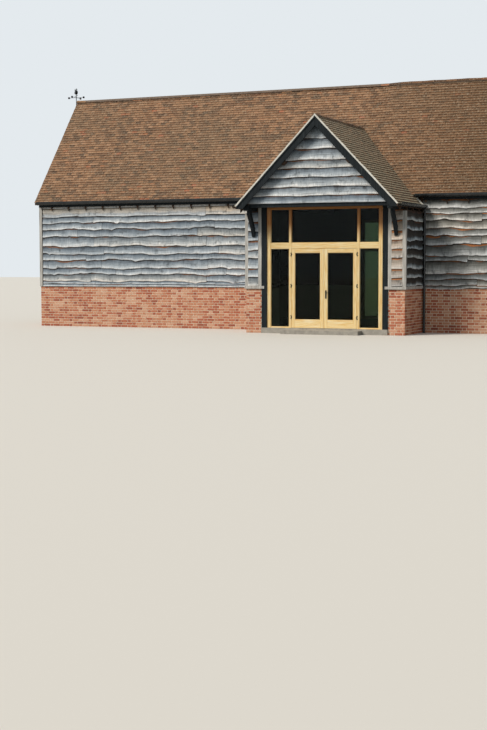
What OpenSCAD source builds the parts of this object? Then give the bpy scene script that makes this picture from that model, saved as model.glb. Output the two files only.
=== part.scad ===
// Weatherboarded timber-framed barn with a gabled, glazed wagon porch.
// X runs along the barn, Y runs into it and Z is up. The origin is on the ground,
// in the middle of the doorway, in the plane of the glazed entrance screen. Millimetres.

/* [Main body] */
// Length over the end walls
barn_l = 19800; // [16000:100:24000]
// Width over the long walls
barn_w = 5200; // [4700:50:6200]
// Thickness of the timber-framed walls
wall_t = 200; // [150:10:250]
// Height of the brick plinth
plinth_h = 1220; // [700:10:1500]
// Thickness of the brick plinth
plinth_t = 225; // [200:5:330]
// Height of the inside floor above the ground
floor_h = 150; // [100:10:200]

/* [Main roof] */
// Pitch of the main roof in degrees
roof_pitch = 51; // [47:1:55]
// Height of the top of the roof at its eaves
eave_z = 3810; // [3700:10:4300]
// Overhang of the eaves past the wall
eave_out = 100; // [60:10:200]
// Overhang of the verges past the end walls
verge_out = 135; // [60:5:250]
// Thickness of tiles, battens and lining
roof_t = 60; // [45:5:90]
// Width of one rafter
rafter_w = 50; // [40:5:75]
// Depth of one rafter
rafter_d = 100; // [80:5:120]
// Distance between rafters, centre to centre
rafter_gap = 591; // [450:1:700]
// Depth of the notch that seats a rafter on the wall
rafter_seat = 40; // [25:1:50]
// Width of the main purlins
purlin_w = 130; // [100:5:180]
// Depth of the main purlins at their upper side
purlin_d = 240; // [200:10:300]
// Width of the tie beams
tie_w = 200; // [150:10:250]
// Depth of the tie beams
tie_d = 250; // [200:10:300]
// Side of the square queen posts
queen_w = 130; // [100:5:180]
// Thickness of the ridge boards
ridge_board_t = 30; // [25:1:50]
// Thickness of the valley rafters
valley_t = 60; // [45:5:90]
// How far ridge boards and valley rafters hang below the rafters
board_drop = 40; // [0:5:80]
// Radius of the ridge tiles
ridge_r = 75; // [60:5:140]
// How far the ridge tiles rise above the slopes
ridge_rise = 45; // [30:5:95]

/* [Porch] */
// Width of the wall between a dark post and the porch's corner
pier_w = 460; // [420:10:700]
// Distance from the entrance screen back to the main wall
porch_d = 1700; // [1500:10:2600]
// Pitch of the porch roof in degrees
porch_pitch = 46; // [42:1:48]
// Height of the top of the porch roof at its eaves
porch_eave_z = 3470; // [3400:10:3500]
// Overhang of the porch eaves past its walls
porch_eave_out = 10; // [0:5:60]
// How far the gable stands forward of the entrance screen
jetty = 520; // [350:10:700]
// Overhang of the porch verge past the gable
porch_verge_out = 230; // [120:10:260]
// Thickness of the gable wall
gable_t = 80; // [60:5:120]
// Depth of the porch rafters
porch_rafter_d = 70; // [60:5:80]
// Side of the square wall plates
plate_w = 150; // [120:5:160]
// Inner face of the wall plates, measured in from the porch's outer face
plate_in = 310; // [280:5:330]
// Notch that seats a porch rafter on its plate
porch_seat = 30; // [20:1:40]
// Depth of the bargeboards
barge_d = 145; // [120:5:230]
// Thickness of the bargeboards
barge_t = 35; // [25:1:45]
// How far the bargeboards stand back from the tiles' edge
barge_back = 10; // [5:1:30]
// Side of the square porch purlins
porch_purlin_w = 115; // [90:5:125]
// Distance of the porch purlins from the centre line
porch_purlin_x = 965; // [700:5:1200]
// Height of the sill on the porch plinth
porch_sill_h = 70; // [50:5:100]
// How far that sill stands out
porch_sill_out = 45; // [20:5:60]
// Width of a bracket under the plates
bracket_w = 90; // [70:5:120]
// Thickness of the bracket's foot
bracket_d = 60; // [40:5:90]
// Height of the bracket on the wall
bracket_h = 700; // [500:10:800]
// Reach of the bracket along the plate
bracket_reach = 430; // [300:10:480]
// How far the gable's tie beam rises above the soffit
tie_beam_cover = 60; // [40:5:80]
// Thickness of the soffit between screen and gable
soffit_t = 20; // [15:1:30]

/* [Entrance screen] */
// Width over the oak frame
screen_w = 3320; // [3100:10:3500]
// Width of the oak end posts
post_w = 130; // [100:5:150]
// Width of the oak mullions
mullion_w = 75; // [60:5:100]
// Thickness of the oak frame
frame_t = 100; // [90:5:130]
// Clear width of the doorway
doorway_w = 1890; // [1700:10:2000]
// Height of the doorway above the floor
doorway_h = 2162; // [2000:2:2300]
// Height of the oak transom
transom_h = 156; // [100:2:180]
// Height of the bottom rail under the side lights
low_rail_h = 40; // [30:5:120]
// Height of the oak head
head_h = 105; // [80:5:140]
// Width of the dark posts beside the screen
side_post_w = 150; // [120:5:180]
// Width of the corner boards and the battens beside the dark posts
corner_w = 95; // [70:5:130]
// Thickness of the corner boards
corner_t = 30; // [20:1:40]
// How far the dark posts stand out
side_post_out = 30; // [10:5:50]
// Thickness of the glass units
glass_t = 24; // [16:1:36]
// Width of the stone sill in front of the screen
sill_out = 60; // [40:5:100]
// Height of the doorstep
step_h = 110; // [80:5:140]
// Width of the doorstep
step_w = 2200; // [1900:10:2600]
// Depth of the doorstep
step_d = 350; // [250:10:450]

/* [Doors] */
// Thickness of a door leaf
leaf_t = 54; // [44:1:64]
// Width of the leaf's stiles
stile_w = 114; // [90:1:130]
// Height of the leaf's top rail
top_rail_h = 110; // [90:2:140]
// Height of the leaf's bottom rail
bottom_rail_h = 240; // [180:5:300]
// Gap round a leaf
leaf_gap = 6; // [5:0.5:8]
// Radius of a hinge barrel
barrel_r = 8; // [7:0.5:9]
// Height of one hinge
hinge_h = 100; // [80:5:130]
// Height of the lowest hinge above the floor
hinge_low = 300; // [150:10:500]
// Distance of the highest hinge below the top of the doorway
hinge_drop = 157; // [100:1:400]
// Height of the handle above the floor
handle_z = 923; // [850:1:1050]

/* [Rear doorway] */
// Width of the glazed opening in the rear wall
rear_w = 2300; // [1800:10:2800]
// Top of that opening above the ground
rear_top = 3300; // [2900:10:3400]

/* [Rainwater] */
// Outer radius of the deep half-round gutters
gutter_r = 57; // [50:1:65]
// Wall of the gutters
gutter_t = 4; // [3:0.5:6]
// Height of the straight sides above the half-round
gutter_up = 45; // [10:5:60]
// How far the main gutters run past the end walls
gutter_out = 20; // [0:5:90]
// Outer radius of the downpipes
pipe_r = 34; // [30:1:40]
// Room round a downpipe where a sill is notched for it
pipe_notch = 6; // [3:1:12]
// Distance of a downpipe's centre from the walls
pipe_off = 62; // [45:1:66]

/* [Weathervane] */
// Radius of the fixed mast
mast_r = 11; // [9:0.5:14]
// Distance of the mast from the verge
mast_off = 55; // [30:5:90]
// Radius of the spindle that the vane turns on
spindle_r = 5; // [4:0.5:6]
// Length of the mast below the top of the ridge tiles
mast_tail = 750; // [500:10:1200]
// Height of the mast's collar above the ridge tiles
collar_rise = 140; // [100:5:200]
// Length of one compass arm
arm_l = 300; // [250:10:450]
// Height of the turning bird
bird_h = 270; // [200:10:300]
// Thickness of the bird's tail and comb
bird_t = 8; // [5:0.5:12]
// Thickness of the bird's body
bird_body_t = 70; // [50:5:90]
// Direction that the bird faces at rest, in degrees
bird_turn = 318; // [0:1:360]

/* [Hidden] */

// Main body: where the faces lie
half_l = barn_l / 2;
front_y = porch_d;
rear_y = porch_d + barn_w;
ridge_y = porch_d + barn_w / 2;
inner_x = half_l - wall_t;

// Main roof: heights of its top and underside over a point across the barn
eave_y = front_y - eave_out;
roof_tan = tan(roof_pitch);
roof_v = roof_t / cos(roof_pitch);
rafter_v = rafter_d / cos(roof_pitch);
function slope_y(y) = min(y, 2 * ridge_y - y) - eave_y;
function main_top(y) = eave_z + slope_y(y) * roof_tan;
function main_under(y) = main_top(y) - roof_v;
function seat(z) = z - seat_gap;
wall_top = main_under(front_y) - rafter_v + rafter_seat;
// Sloping faces that seat on each other stay this far apart, so that rounding never sinks one
seat_gap = 0.3;
board_half = ridge_board_t / 2;
foot_back = eave_out / 5;

// Porch: where the faces lie
porch_half = screen_w / 2 + side_post_w + pier_w;
porch_roof_half = porch_half + porch_eave_out;
gable_y = -jetty;
verge_y = gable_y - porch_verge_out;
barge_y = verge_y + barge_back;
plate_x = porch_half - plate_in;
plate_out_x = plate_x + plate_w;

// Porch roof: heights of its top and underside over a point across the porch
porch_tan = tan(porch_pitch);
porch_v = roof_t / cos(porch_pitch);
porch_rafter_v = porch_rafter_d / cos(porch_pitch);
barge_v = barge_d / cos(porch_pitch);
porch_apex_z = porch_eave_z + porch_roof_half * porch_tan;
function porch_top(x) = porch_apex_z - abs(x) * porch_tan;
function porch_under(x) = porch_top(x) - porch_v;
function under_rafter(x) = porch_under(x) - porch_rafter_v;
plate_top = under_rafter(plate_out_x) + porch_seat;
plate_z = plate_top - plate_w;
soffit_z = plate_top;
tie_beam_top = soffit_z + soffit_t + tie_beam_cover;
tie_beam_z = tie_beam_top - plate_w;

// Entrance screen: where its openings lie
screen_half = screen_w / 2;
doorway_half = doorway_w / 2;
side_light_x = [doorway_half + mullion_w, screen_half - post_w];
transom_z = floor_h + doorway_h;
screen_top = soffit_z;
top_light_z = [transom_z + transom_h, screen_top - head_h];
post_x = [screen_half, screen_half + side_post_w];
glass_y = frame_t / 2 - glass_t / 2;
rebate = 15;
rebate_y = leaf_t + leaf_gap;
sill_back = frame_t + 70;

// Doors: one leaf, from its hinge edge at 0 to its meeting edge
leaf_w = doorway_half - 1.5 * leaf_gap;
leaf_z = [floor_h + leaf_gap, transom_z - leaf_gap];
hinge_x = doorway_half - leaf_gap / 2;
hinge_y = -barrel_r - 2;
hinge_ends = [floor_h + hinge_low, transom_z - hinge_drop];
hinge_zs = [hinge_ends[0], (hinge_ends[0] + hinge_ends[1]) / 2, hinge_ends[1]];

// Rear doorway
rear_half = rear_w / 2;
rear_post_w = 90;
rear_set = 50;

// Gutters: centre lines
gutter_z = eave_z - gutter_up;
gutter_y = eave_y - gutter_r;
porch_gutter_x = porch_roof_half + gutter_r;
porch_gutter_z = porch_eave_z - 15;
gutter_stop = 30;

// Weathervane
ridge_top_z = main_top(ridge_y) + ridge_rise;
mast_x = -(half_l + verge_out + mast_off);
mast_foot_z = ridge_top_z - mast_tail;
collar_z = ridge_top_z + collar_rise;
spindle_gap = 1;

// A box given by the range it spans along each axis
module box(x, y, z)
    translate([x[0], y[0], z[0]]) cube([x[1] - x[0], y[1] - y[0], z[1] - z[0]]);

// A profile drawn in Y and Z, run along X
module along_x(x0, x1)
    translate([x0, 0, 0]) rotate([90, 0, 90]) linear_extrude(x1 - x0) children();

// A profile drawn in X and Z, run along Y
module along_y(y0, y1)
    translate([0, y1, 0]) rotate([90, 0, 0]) linear_extrude(y1 - y0) children();

// What stands on the right, and its twin on the left
module both_sides() {
    children();
    mirror([1, 0, 0]) children();
}

// What stands at the front, and its twin at the back
module front_and_rear() {
    children();
    translate([0, 2 * ridge_y, 0]) mirror([0, 1, 0]) children();
}

// Section through the space under the whole porch roof, down to the ground
module porch_section(top, half)
    polygon([[-half, 0], [half, 0], [half, top - half * porch_tan], [0, top],
        [-half, top - half * porch_tan]]);

// The space inside the barn that the porch roof stops at
module inside_barn()
    along_x(-half_l, half_l)
        polygon([[front_y, 0], [front_y, main_under(front_y)], [ridge_y, main_under(ridge_y)],
            [ridge_y, 0]]);

// Brickwork
module plinth_front()
    color("firebrick") both_sides()
        box([porch_half - plinth_t, half_l - plinth_t], [front_y, front_y + plinth_t],
            [0, plinth_h]);

module plinth_rear()
    color("firebrick") both_sides()
        box([rear_half, half_l - plinth_t], [rear_y - plinth_t, rear_y], [0, plinth_h]);

module plinth_ends()
    color("firebrick") both_sides()
        box([half_l - plinth_t, half_l], [front_y, rear_y], [0, plinth_h]);

module porch_corner(z0, z1, t, out)
    linear_extrude(z1 - z0)
        polygon([[post_x[1], -out], [porch_half + out, -out], [porch_half + out, front_y],
            [porch_half - t, front_y], [porch_half - t, t], [post_x[1], t]]);

module plinth_porch()
    color("firebrick") both_sides() porch_corner(0, plinth_h, plinth_t, 0);

// Floor and stonework
module floor_slab()
    color("silver") union() {
        box([plinth_t - half_l, half_l - plinth_t], [front_y + plinth_t, rear_y - plinth_t],
            [0, floor_h]);
        box([plinth_t - porch_half, porch_half - plinth_t], [plinth_t, front_y + plinth_t],
            [0, floor_h]);
        box([-post_x[1], post_x[1]], [sill_back, plinth_t], [0, floor_h]);
        box([-rear_half, rear_half], [rear_y - plinth_t, rear_y], [0, floor_h]);
    }

module entrance_sill()
    color("lightgray") box([-post_x[1], post_x[1]], [-sill_out, sill_back], [0, floor_h]);

module doorstep()
    color("slategray")
        box([-step_w / 2, step_w / 2], [-sill_out - step_d, -sill_out], [0, step_h]);

// Timber-framed walls
module wall_front_right()
    color("gray")
        box([porch_half - plinth_t, inner_x], [front_y, front_y + wall_t], [plinth_h, wall_top]);

module wall_front_left()
    mirror([1, 0, 0]) wall_front_right();

module wall_rear()
    color("gray") both_sides()
        box([rear_half, inner_x], [rear_y - wall_t, rear_y], [plinth_h, wall_top]);

module wall_rear_over_doorway()
    color("gray")
        box([-rear_half, rear_half], [rear_y - wall_t, rear_y], [rear_top, wall_top]);

module gable_end_right()
    color("gray") along_x(inner_x, half_l)
        polygon([[front_y, plinth_h], [rear_y, plinth_h], [rear_y, seat(main_under(rear_y))],
            [ridge_y, seat(main_under(ridge_y))], [front_y, seat(main_under(front_y))]]);

module gable_end_left()
    mirror([1, 0, 0]) gable_end_right();

// Top of a porch wall: flat under the plate and cut back under the rafters' feet
module porch_wall_section(in_x) {
    chamfer_x = (porch_apex_z - porch_v - porch_rafter_v - plate_z) / porch_tan;
    wall_z = plinth_h + porch_sill_h;
    polygon([[in_x, wall_z], [porch_half, wall_z], [porch_half, under_rafter(porch_half)],
        [chamfer_x, plate_z], [in_x, plate_z]]);
}

module porch_wall_right()
    color("gray") union() {
        along_y(0, front_y) porch_wall_section(porch_half - plinth_t);
        along_y(0, wall_t) porch_wall_section(post_x[1]);
        box([post_x[1], plate_x], [0, wall_t], [plate_z - 1, soffit_z]);
    }

module porch_wall_left()
    mirror([1, 0, 0]) porch_wall_right();

// The sills are notched round the downpipes
module porch_sills()
    color("darkgray") both_sides() difference() {
        translate([0, 0, plinth_h]) porch_corner(0, porch_sill_h, plinth_t, porch_sill_out);
        translate([porch_gutter_x, front_y - pipe_off, plinth_h - 1])
            cylinder(r = pipe_r + pipe_notch, h = porch_sill_h + 2, $fn = 32);
    }

// Boards that cover the corners of the walls
module corner_board(x, y, z)
    translate([0, 0, z[0]]) linear_extrude(z[1] - z[0])
        polygon([[x - corner_w + corner_t, y - corner_t], [x + corner_t, y - corner_t],
            [x + corner_t, y + corner_w - corner_t], [x, y + corner_w - corner_t], [x, y],
            [x - corner_w + corner_t, y]]);

module corner_boards() {
    porch_z = plinth_h + porch_sill_h;
    color("darkgray") both_sides() {
        corner_board(porch_half, 0, [porch_z, under_rafter(porch_half)]);
        box([post_x[1], post_x[1] + corner_w], [-corner_t, 0], [porch_z, soffit_z]);
        front_and_rear()
            corner_board(half_l, front_y, [plinth_h, main_under(front_y - corner_t)]);
    }
}

// Timbers that carry the gable forward of the screen
module porch_wall_plates()
    color("dimgray") both_sides()
        box([plate_x, plate_out_x], [gable_y - gable_t, front_y], [plate_z, plate_top]);

module gable_tie_beam()
    color("dimgray")
        box([-plate_x, plate_x], [gable_y, gable_y + plate_w], [tie_beam_z, tie_beam_top]);

module porch_soffit()
    color("dimgray")
        box([-plate_x, plate_x], [gable_y + plate_w, wall_t], [soffit_z, soffit_z + soffit_t]);

module doorway_posts()
    color("dimgray") both_sides()
        box(post_x, [-side_post_out, sill_back], [floor_h, soffit_z]);

// A solid knee from the porch wall up to the plate, hollowed to a curve in front
module gable_brackets() {
    rise = [bracket_d - bracket_reach, bracket_h];
    chord = norm(rise);
    sag = chord / 16;
    bend_r = (chord * chord / 4 + sag * sag) / (2 * sag);
    mid = [-(bracket_d + bracket_reach) / 2, plate_z - bracket_h / 2];
    centre = mid - (bend_r - sag) / chord * [rise.y, -rise.x];
    plate_mid = plate_x + plate_w / 2;
    color("dimgray") both_sides() along_x(plate_mid - bracket_w / 2, plate_mid + bracket_w / 2)
        difference() {
            translate([-bracket_reach, plate_z - bracket_h]) square([bracket_reach, bracket_h]);
            translate(centre) circle(r = bend_r, $fn = 180);
        }
}

// Boarded gable of the porch, let in round the purlins and the ridge board
module porch_gable()
    color("gray") difference() {
        along_y(gable_y, gable_y + gable_t)
            polygon([[-plate_out_x, plate_top], [-plate_x, plate_top], [-plate_x, tie_beam_top],
                [plate_x, tie_beam_top], [plate_x, plate_top], [plate_out_x, plate_top],
                [plate_out_x, seat(porch_under(plate_out_x))], [0, seat(porch_under(0))],
                [-plate_out_x, seat(porch_under(plate_out_x))]]);
        porch_purlins();
        porch_ridge_board();
    }

module bargeboards() {
    joint = 1;
    foot_z = plate_z + 40;
    color("black") both_sides() along_y(barge_y, barge_y + barge_t)
        intersection() {
            polygon([[joint, seat(porch_under(joint))],
                [porch_roof_half, seat(porch_under(porch_roof_half))],
                [porch_roof_half, porch_under(porch_roof_half) - barge_v],
                [joint, porch_under(joint) - barge_v]]);
            translate([joint, foot_z]) square([porch_roof_half, porch_apex_z]);
        }
}

// Roof timbers of the porch
module porch_rafter_section()
    difference() {
        polygon([[board_half, seat(porch_under(board_half))],
            [porch_half, seat(porch_under(porch_half))],
            [porch_half, under_rafter(porch_half)],
            [board_half, under_rafter(board_half)]]);
        translate([plate_x, plate_z]) square([plate_w, plate_w]);
    }

module porch_rafters() {
    first_y = gable_y + gable_t;
    valley_y = eave_y + (porch_apex_z - eave_z) / roof_tan;
    count = floor((valley_y - first_y - rafter_w) / rafter_gap);
    color("saddlebrown") both_sides() difference() {
        for (i = [0:count])
            along_y(first_y + i * rafter_gap, first_y + i * rafter_gap + rafter_w)
                porch_rafter_section();
        inside_barn();
    }
}

module porch_purlins()
    both_sides() along_y(barge_y + barge_t, front_y)
        translate([porch_purlin_x, seat(under_rafter(porch_purlin_x))]) rotate(-porch_pitch)
            translate([-porch_purlin_w / 2, -porch_purlin_w])
                square([porch_purlin_w, porch_purlin_w]);

module porch_ridge_board() {
    top = porch_under(board_half);
    difference() {
        along_y(barge_y + barge_t, ridge_y)
            translate([-board_half, top - porch_rafter_v - board_drop])
                square([ridge_board_t, porch_rafter_v + board_drop]);
        inside_barn();
    }
}

// Roof timbers of the main body
module main_purlins() {
    y0 = ridge_y - barn_w / 4 - purlin_w / 2;
    y1 = y0 + purlin_w;
    z0 = main_under(y1) - rafter_v - purlin_d;
    front_and_rear() along_x(-inner_x, inner_x)
        polygon([[y0, z0], [y1, z0], [y1, seat(main_under(y1) - rafter_v)],
            [y0, seat(main_under(y0) - rafter_v)]]);
}

module purlins()
    color("saddlebrown") {
        main_purlins();
        porch_purlins();
    }

module main_ridge_board() {
    top = main_under(ridge_y - board_half);
    box([-inner_x, inner_x], [ridge_y - board_half, ridge_y + board_half],
        [top - rafter_v - board_drop, top]);
}

module ridge_boards()
    color("saddlebrown") {
        main_ridge_board();
        porch_ridge_board();
    }

module rafter_section()
    difference() {
        polygon([[eave_y + foot_back, seat(main_under(eave_y + foot_back))],
            [ridge_y - board_half, seat(main_under(ridge_y - board_half))],
            [ridge_y - board_half, main_under(ridge_y - board_half) - rafter_v],
            [eave_y + foot_back, main_under(eave_y + foot_back) - rafter_v]]);
        translate([front_y, 0]) square([wall_t, wall_top]);
    }

module rafters() {
    count = floor((inner_x - rafter_w) / rafter_gap);
    color("saddlebrown") {
        difference() {
            for (i = [-count:count])
                along_x(i * rafter_gap - rafter_w / 2, i * rafter_gap + rafter_w / 2)
                    rafter_section();
            along_y(0, ridge_y) porch_section(porch_under(0), porch_half);
            box([-porch_roof_half, porch_roof_half], [0, front_y], [0, porch_apex_z]);
            valley_planks();
        }
        translate([0, 2 * ridge_y, 0]) mirror([0, 1, 0])
            for (i = [-count:count])
                along_x(i * rafter_gap - rafter_w / 2, i * rafter_gap + rafter_w / 2)
                    rafter_section();
    }
}

// A plank on edge under each valley, between the points where the two undersides meet
module valley_planks() {
    depth = rafter_v + board_drop;
    function valley_x(y) = (porch_under(0) - main_under(y)) / porch_tan;
    foot = [valley_x(front_y), front_y];
    head_y = ridge_y - (main_under(ridge_y) - porch_under(0)) / roof_tan;
    run = norm([foot.x, head_y - foot.y]);
    turn = atan2(head_y - foot.y, -foot.x);
    both_sides() intersection() {
        translate([foot.x, foot.y, 0]) rotate([0, 0, turn]) translate([0, valley_t / 2, 0])
            rotate([90, 0, 0]) linear_extrude(valley_t)
                polygon([[-valley_t, main_under(foot.y) - depth], [run, porch_under(0) - depth],
                    [run, porch_under(0)], [0, main_under(foot.y)],
                    [-valley_t, main_under(foot.y)]]);
        inside_barn();
        box([0, porch_half], [front_y, ridge_y], [0, porch_apex_z]);
    }
}

module valley_rafters()
    color("saddlebrown") difference() {
        valley_planks();
        main_purlins();
    }

tie_x = [porch_half - tie_w / 2, (porch_half - tie_w / 2 + inner_x) / 2];

module tie_beams()
    color("saddlebrown") both_sides() for (x = tie_x)
        box([x - tie_w / 2, x + tie_w / 2], [front_y + wall_t, rear_y - wall_t],
            [wall_top - tie_d, wall_top]);

module queen_posts() {
    y0 = ridge_y - barn_w / 4 - purlin_w / 2;
    top = main_under(y0 + purlin_w) - rafter_v - purlin_d;
    color("saddlebrown") both_sides() for (x = tie_x) front_and_rear()
        box([x - queen_w / 2, x + queen_w / 2], [y0 + (purlin_w - queen_w) / 2,
            y0 + (purlin_w + queen_w) / 2], [wall_top, top]);
}

// Roof coverings
module main_slope()
    along_x(-half_l - verge_out, half_l + verge_out)
        polygon([[eave_y, main_top(eave_y)], [ridge_y, main_top(ridge_y)],
            [ridge_y, main_under(ridge_y)], [eave_y, main_under(eave_y)]]);

module roof_front()
    color("sienna") difference() {
        main_slope();
        along_y(0, ridge_y) porch_section(porch_top(0), porch_roof_half);
    }

module roof_rear()
    color("sienna") translate([0, 2 * ridge_y, 0]) mirror([0, 1, 0]) main_slope();

module porch_roof_right()
    color("sienna") difference() {
        along_y(verge_y, ridge_y)
            polygon([[0, porch_top(0)], [porch_roof_half, porch_top(porch_roof_half)],
                [porch_roof_half, porch_under(porch_roof_half)], [0, porch_under(0)]]);
        inside_barn();
        box([0, porch_roof_half + 1], [front_y, ridge_y + 1], [0, main_under(front_y)]);
    }

module porch_roof_left()
    mirror([1, 0, 0]) porch_roof_right();

// Half-round ridge tiles bedded on both slopes
module ridge_tiles() {
    main_end = half_l + verge_out;
    porch_end = ridge_y - (main_top(ridge_y) - porch_apex_z) / roof_tan;
    color("peru") {
        along_x(-main_end, main_end) difference() {
            translate([ridge_y, main_top(ridge_y) + ridge_rise - ridge_r])
                circle(r = ridge_r, $fn = 48);
            polygon([[eave_y, main_top(eave_y)], [ridge_y, main_top(ridge_y)],
                [2 * ridge_y - eave_y, main_top(eave_y)]]);
        }
        difference() {
            along_y(verge_y, porch_end + ridge_rise) difference() {
                translate([0, porch_apex_z + ridge_rise / 2 - ridge_r])
                    circle(r = ridge_r, $fn = 48);
                polygon([[-porch_roof_half, porch_eave_z], [0, porch_apex_z],
                    [porch_roof_half, porch_eave_z]]);
            }
            main_slope();
            inside_barn();
        }
    }
}

// Oak screen: the openings are cut through one joined frame
module entrance_frame() {
    color("burlywood") union() {
        along_y(0, frame_t) difference() {
            translate([-screen_half, floor_h]) square([screen_w, screen_top - floor_h]);
            for (side = [-1, 1]) {
                cut_light(side, side_light_x, [floor_h + low_rail_h, transom_z]);
                cut_light(side, side_light_x, top_light_z);
            }
            translate([-doorway_half, top_light_z[0]])
                square([doorway_w, top_light_z[1] - top_light_z[0]]);
            translate([-doorway_half, floor_h - 1]) square([doorway_w, doorway_h + 1]);
        }
        both_sides() box([doorway_half - rebate, doorway_half + 1], [rebate_y, frame_t],
            [floor_h, transom_z]);
        box([-doorway_half, doorway_half], [rebate_y, frame_t], [transom_z - rebate, transom_z + 1]);
        for (side = [-1, 1], z = hinge_zs)
            translate([side * hinge_x, hinge_y, z]) scale([side, 1, 1]) frame_knuckles();
    }
}

module cut_light(side, x, z)
    translate([side > 0 ? x[0] : -x[1], z[0]]) square([x[1] - x[0], z[1] - z[0]]);

// The knuckles of one hinge, with its pin's axis at the origin and the leaf on the -X side
knuckle_h = (hinge_h - 2) / 3;

module knuckle(z0, h, side)
    union() {
        translate([0, 0, z0]) cylinder(r = barrel_r, h = h, $fn = 24);
        box(side > 0 ? [0, barrel_r + 16] : [-barrel_r - 16, 0], [barrel_r - 3, -hinge_y],
            [z0, z0 + h]);
    }

module frame_knuckles() {
    knuckle(-hinge_h / 2, knuckle_h, 1);
    knuckle(hinge_h / 2 - knuckle_h, knuckle_h, 1);
}

module leaf_knuckle()
    knuckle(-knuckle_h / 2, knuckle_h, -1);

module entrance_glass()
    color("lightblue") along_y(glass_y, glass_y + glass_t) {
        for (side = [-1, 1]) {
            cut_light(side, side_light_x, [floor_h + low_rail_h, transom_z]);
            cut_light(side, side_light_x, top_light_z);
        }
        translate([-doorway_half, top_light_z[0]])
            square([doorway_w, top_light_z[1] - top_light_z[0]]);
    }

// Door leaves: the right leaf is drawn, and the left one is its twin
pane_x = [leaf_gap / 2 + stile_w, leaf_gap / 2 + leaf_w - stile_w];
pane_z = [leaf_z[0] + bottom_rail_h, leaf_z[1] - top_rail_h];

module leaf()
    union() {
        along_y(0, leaf_t) difference() {
            translate([leaf_gap / 2, leaf_z[0]]) square([leaf_w, leaf_z[1] - leaf_z[0]]);
            translate([pane_x[0], pane_z[0]])
                square([pane_x[1] - pane_x[0], pane_z[1] - pane_z[0]]);
        }
        for (z = hinge_zs) translate([hinge_x, hinge_y, z]) leaf_knuckle();
    }

module leaf_glass()
    box(pane_x, [leaf_t / 2 - glass_t / 2, leaf_t / 2 + glass_t / 2], pane_z);

module door_right()
    color("burlywood") leaf();

module door_right_glass()
    color("lightblue") leaf_glass();

module door_left()
    color("burlywood") mirror([1, 0, 0]) leaf();

module door_left_glass()
    color("lightblue") mirror([1, 0, 0]) leaf_glass();

// A lever on a long plate, on the meeting stile of the right leaf
module door_handle() {
    plate = [40, 8, 220];
    stand = 52;
    lever_r = 9;
    x = leaf_gap / 2 + stile_w / 2;
    z = floor_h + handle_z;
    color("dimgray") translate([x, 0, z]) union() {
        box([-plate.x / 2, plate.x / 2], [-plate.y, 0], [-plate.z / 2, plate.z / 2]);
        translate([0, 0, plate.z / 5]) rotate([90, 0, 0])
            cylinder(r = lever_r, h = stand, $fn = 24);
        translate([0, -stand + lever_r, plate.z / 5]) rotate([0, 90, 0])
            cylinder(r = lever_r, h = stile_w, $fn = 24);
    }
}

// Glazed screen that closes the rear doorway
module rear_lights() {
    z = [floor_h + rear_post_w, rear_top - rear_post_w];
    x = [mullion_w / 2, rear_half - rear_post_w];
    for (side = [-1, 1]) {
        cut_light(side, x, [z[0], transom_z]);
        cut_light(side, x, [transom_z + transom_h, z[1]]);
    }
}

module rear_frame()
    color("burlywood") along_y(rear_y - rear_set - frame_t, rear_y - rear_set) difference() {
        translate([-rear_half, floor_h]) square([rear_w, rear_top - floor_h]);
        rear_lights();
    }

module rear_glass()
    color("lightblue") translate([0, rear_y - rear_set - frame_t, 0])
        along_y(glass_y, glass_y + glass_t) rear_lights();

// Deep half-round gutters: straight sides on a half-round bed
module gutter_half(r, up)
    difference() {
        union() {
            circle(r = r, $fn = 48);
            translate([-r, 0]) square([2 * r, up]);
        }
        translate([-r - 1, up]) square(2 * r + 2);
    }

module gutter_section()
    difference() {
        gutter_half(gutter_r, gutter_up);
        gutter_half(gutter_r - gutter_t, gutter_up + 1);
    }

module gutters() {
    end_x = half_l + gutter_out;
    main_stop = (porch_apex_z - (gutter_z - gutter_r)) / porch_tan + gutter_stop;
    color("black") {
        both_sides() along_x(main_stop, end_x) translate([gutter_y, gutter_z]) gutter_section();
        along_x(-end_x, end_x) translate([2 * ridge_y - gutter_y, gutter_z]) gutter_section();
        both_sides() along_y(verge_y + gutter_stop, front_y - gutter_t)
            translate([porch_gutter_x, porch_gutter_z]) gutter_section();
    }
}

module downpipe_right_front() {
    x = porch_gutter_x;
    y = front_y - pipe_off;
    difference() {
        translate([x, y, 0]) cylinder(r = pipe_r, h = porch_gutter_z, $fn = 32);
        translate([x, 0, porch_gutter_z]) rotate([-90, 0, 0])
            cylinder(r = gutter_r, h = front_y, $fn = 48);
    }
}

module downpipe_right_rear() {
    y = 2 * ridge_y - gutter_y;
    difference() {
        translate([half_l - 4 * pipe_r, y, 0]) cylinder(r = pipe_r, h = gutter_z, $fn = 32);
        translate([0, y, gutter_z]) rotate([0, 90, 0])
            cylinder(r = gutter_r, h = half_l, $fn = 48);
    }
}

module downpipes()
    color("black") both_sides() {
        downpipe_right_front();
        downpipe_right_rear();
    }

// Weathervane: a mast held off the gable end, with four fixed arms
module vane_mast() {
    arm_r = 5;
    boss_r = 16;
    strap_h = 40;
    arm_z = collar_z - 34;
    color("dimgray") translate([mast_x, ridge_y, 0]) union() {
        translate([0, 0, mast_foot_z]) cylinder(r = mast_r, h = collar_z - mast_foot_z, $fn = 24);
        translate([0, 0, collar_z - 1]) cylinder(r = spindle_r, h = bird_h, $fn = 24);
        translate([0, 0, arm_z - boss_r]) cylinder(r = boss_r, h = 2 * boss_r, $fn = 24);
        for (turn = [0:90:270]) rotate([0, 0, turn]) translate([0, 0, arm_z])
            rotate([0, 90, 0]) cylinder(r = arm_r, h = arm_l, $fn = 16);
        for (z = [mast_foot_z + 60, mast_foot_z + 360])
            box([0, -half_l - mast_x], [-8, 8], [z, z + strap_h]);
    }
}

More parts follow.
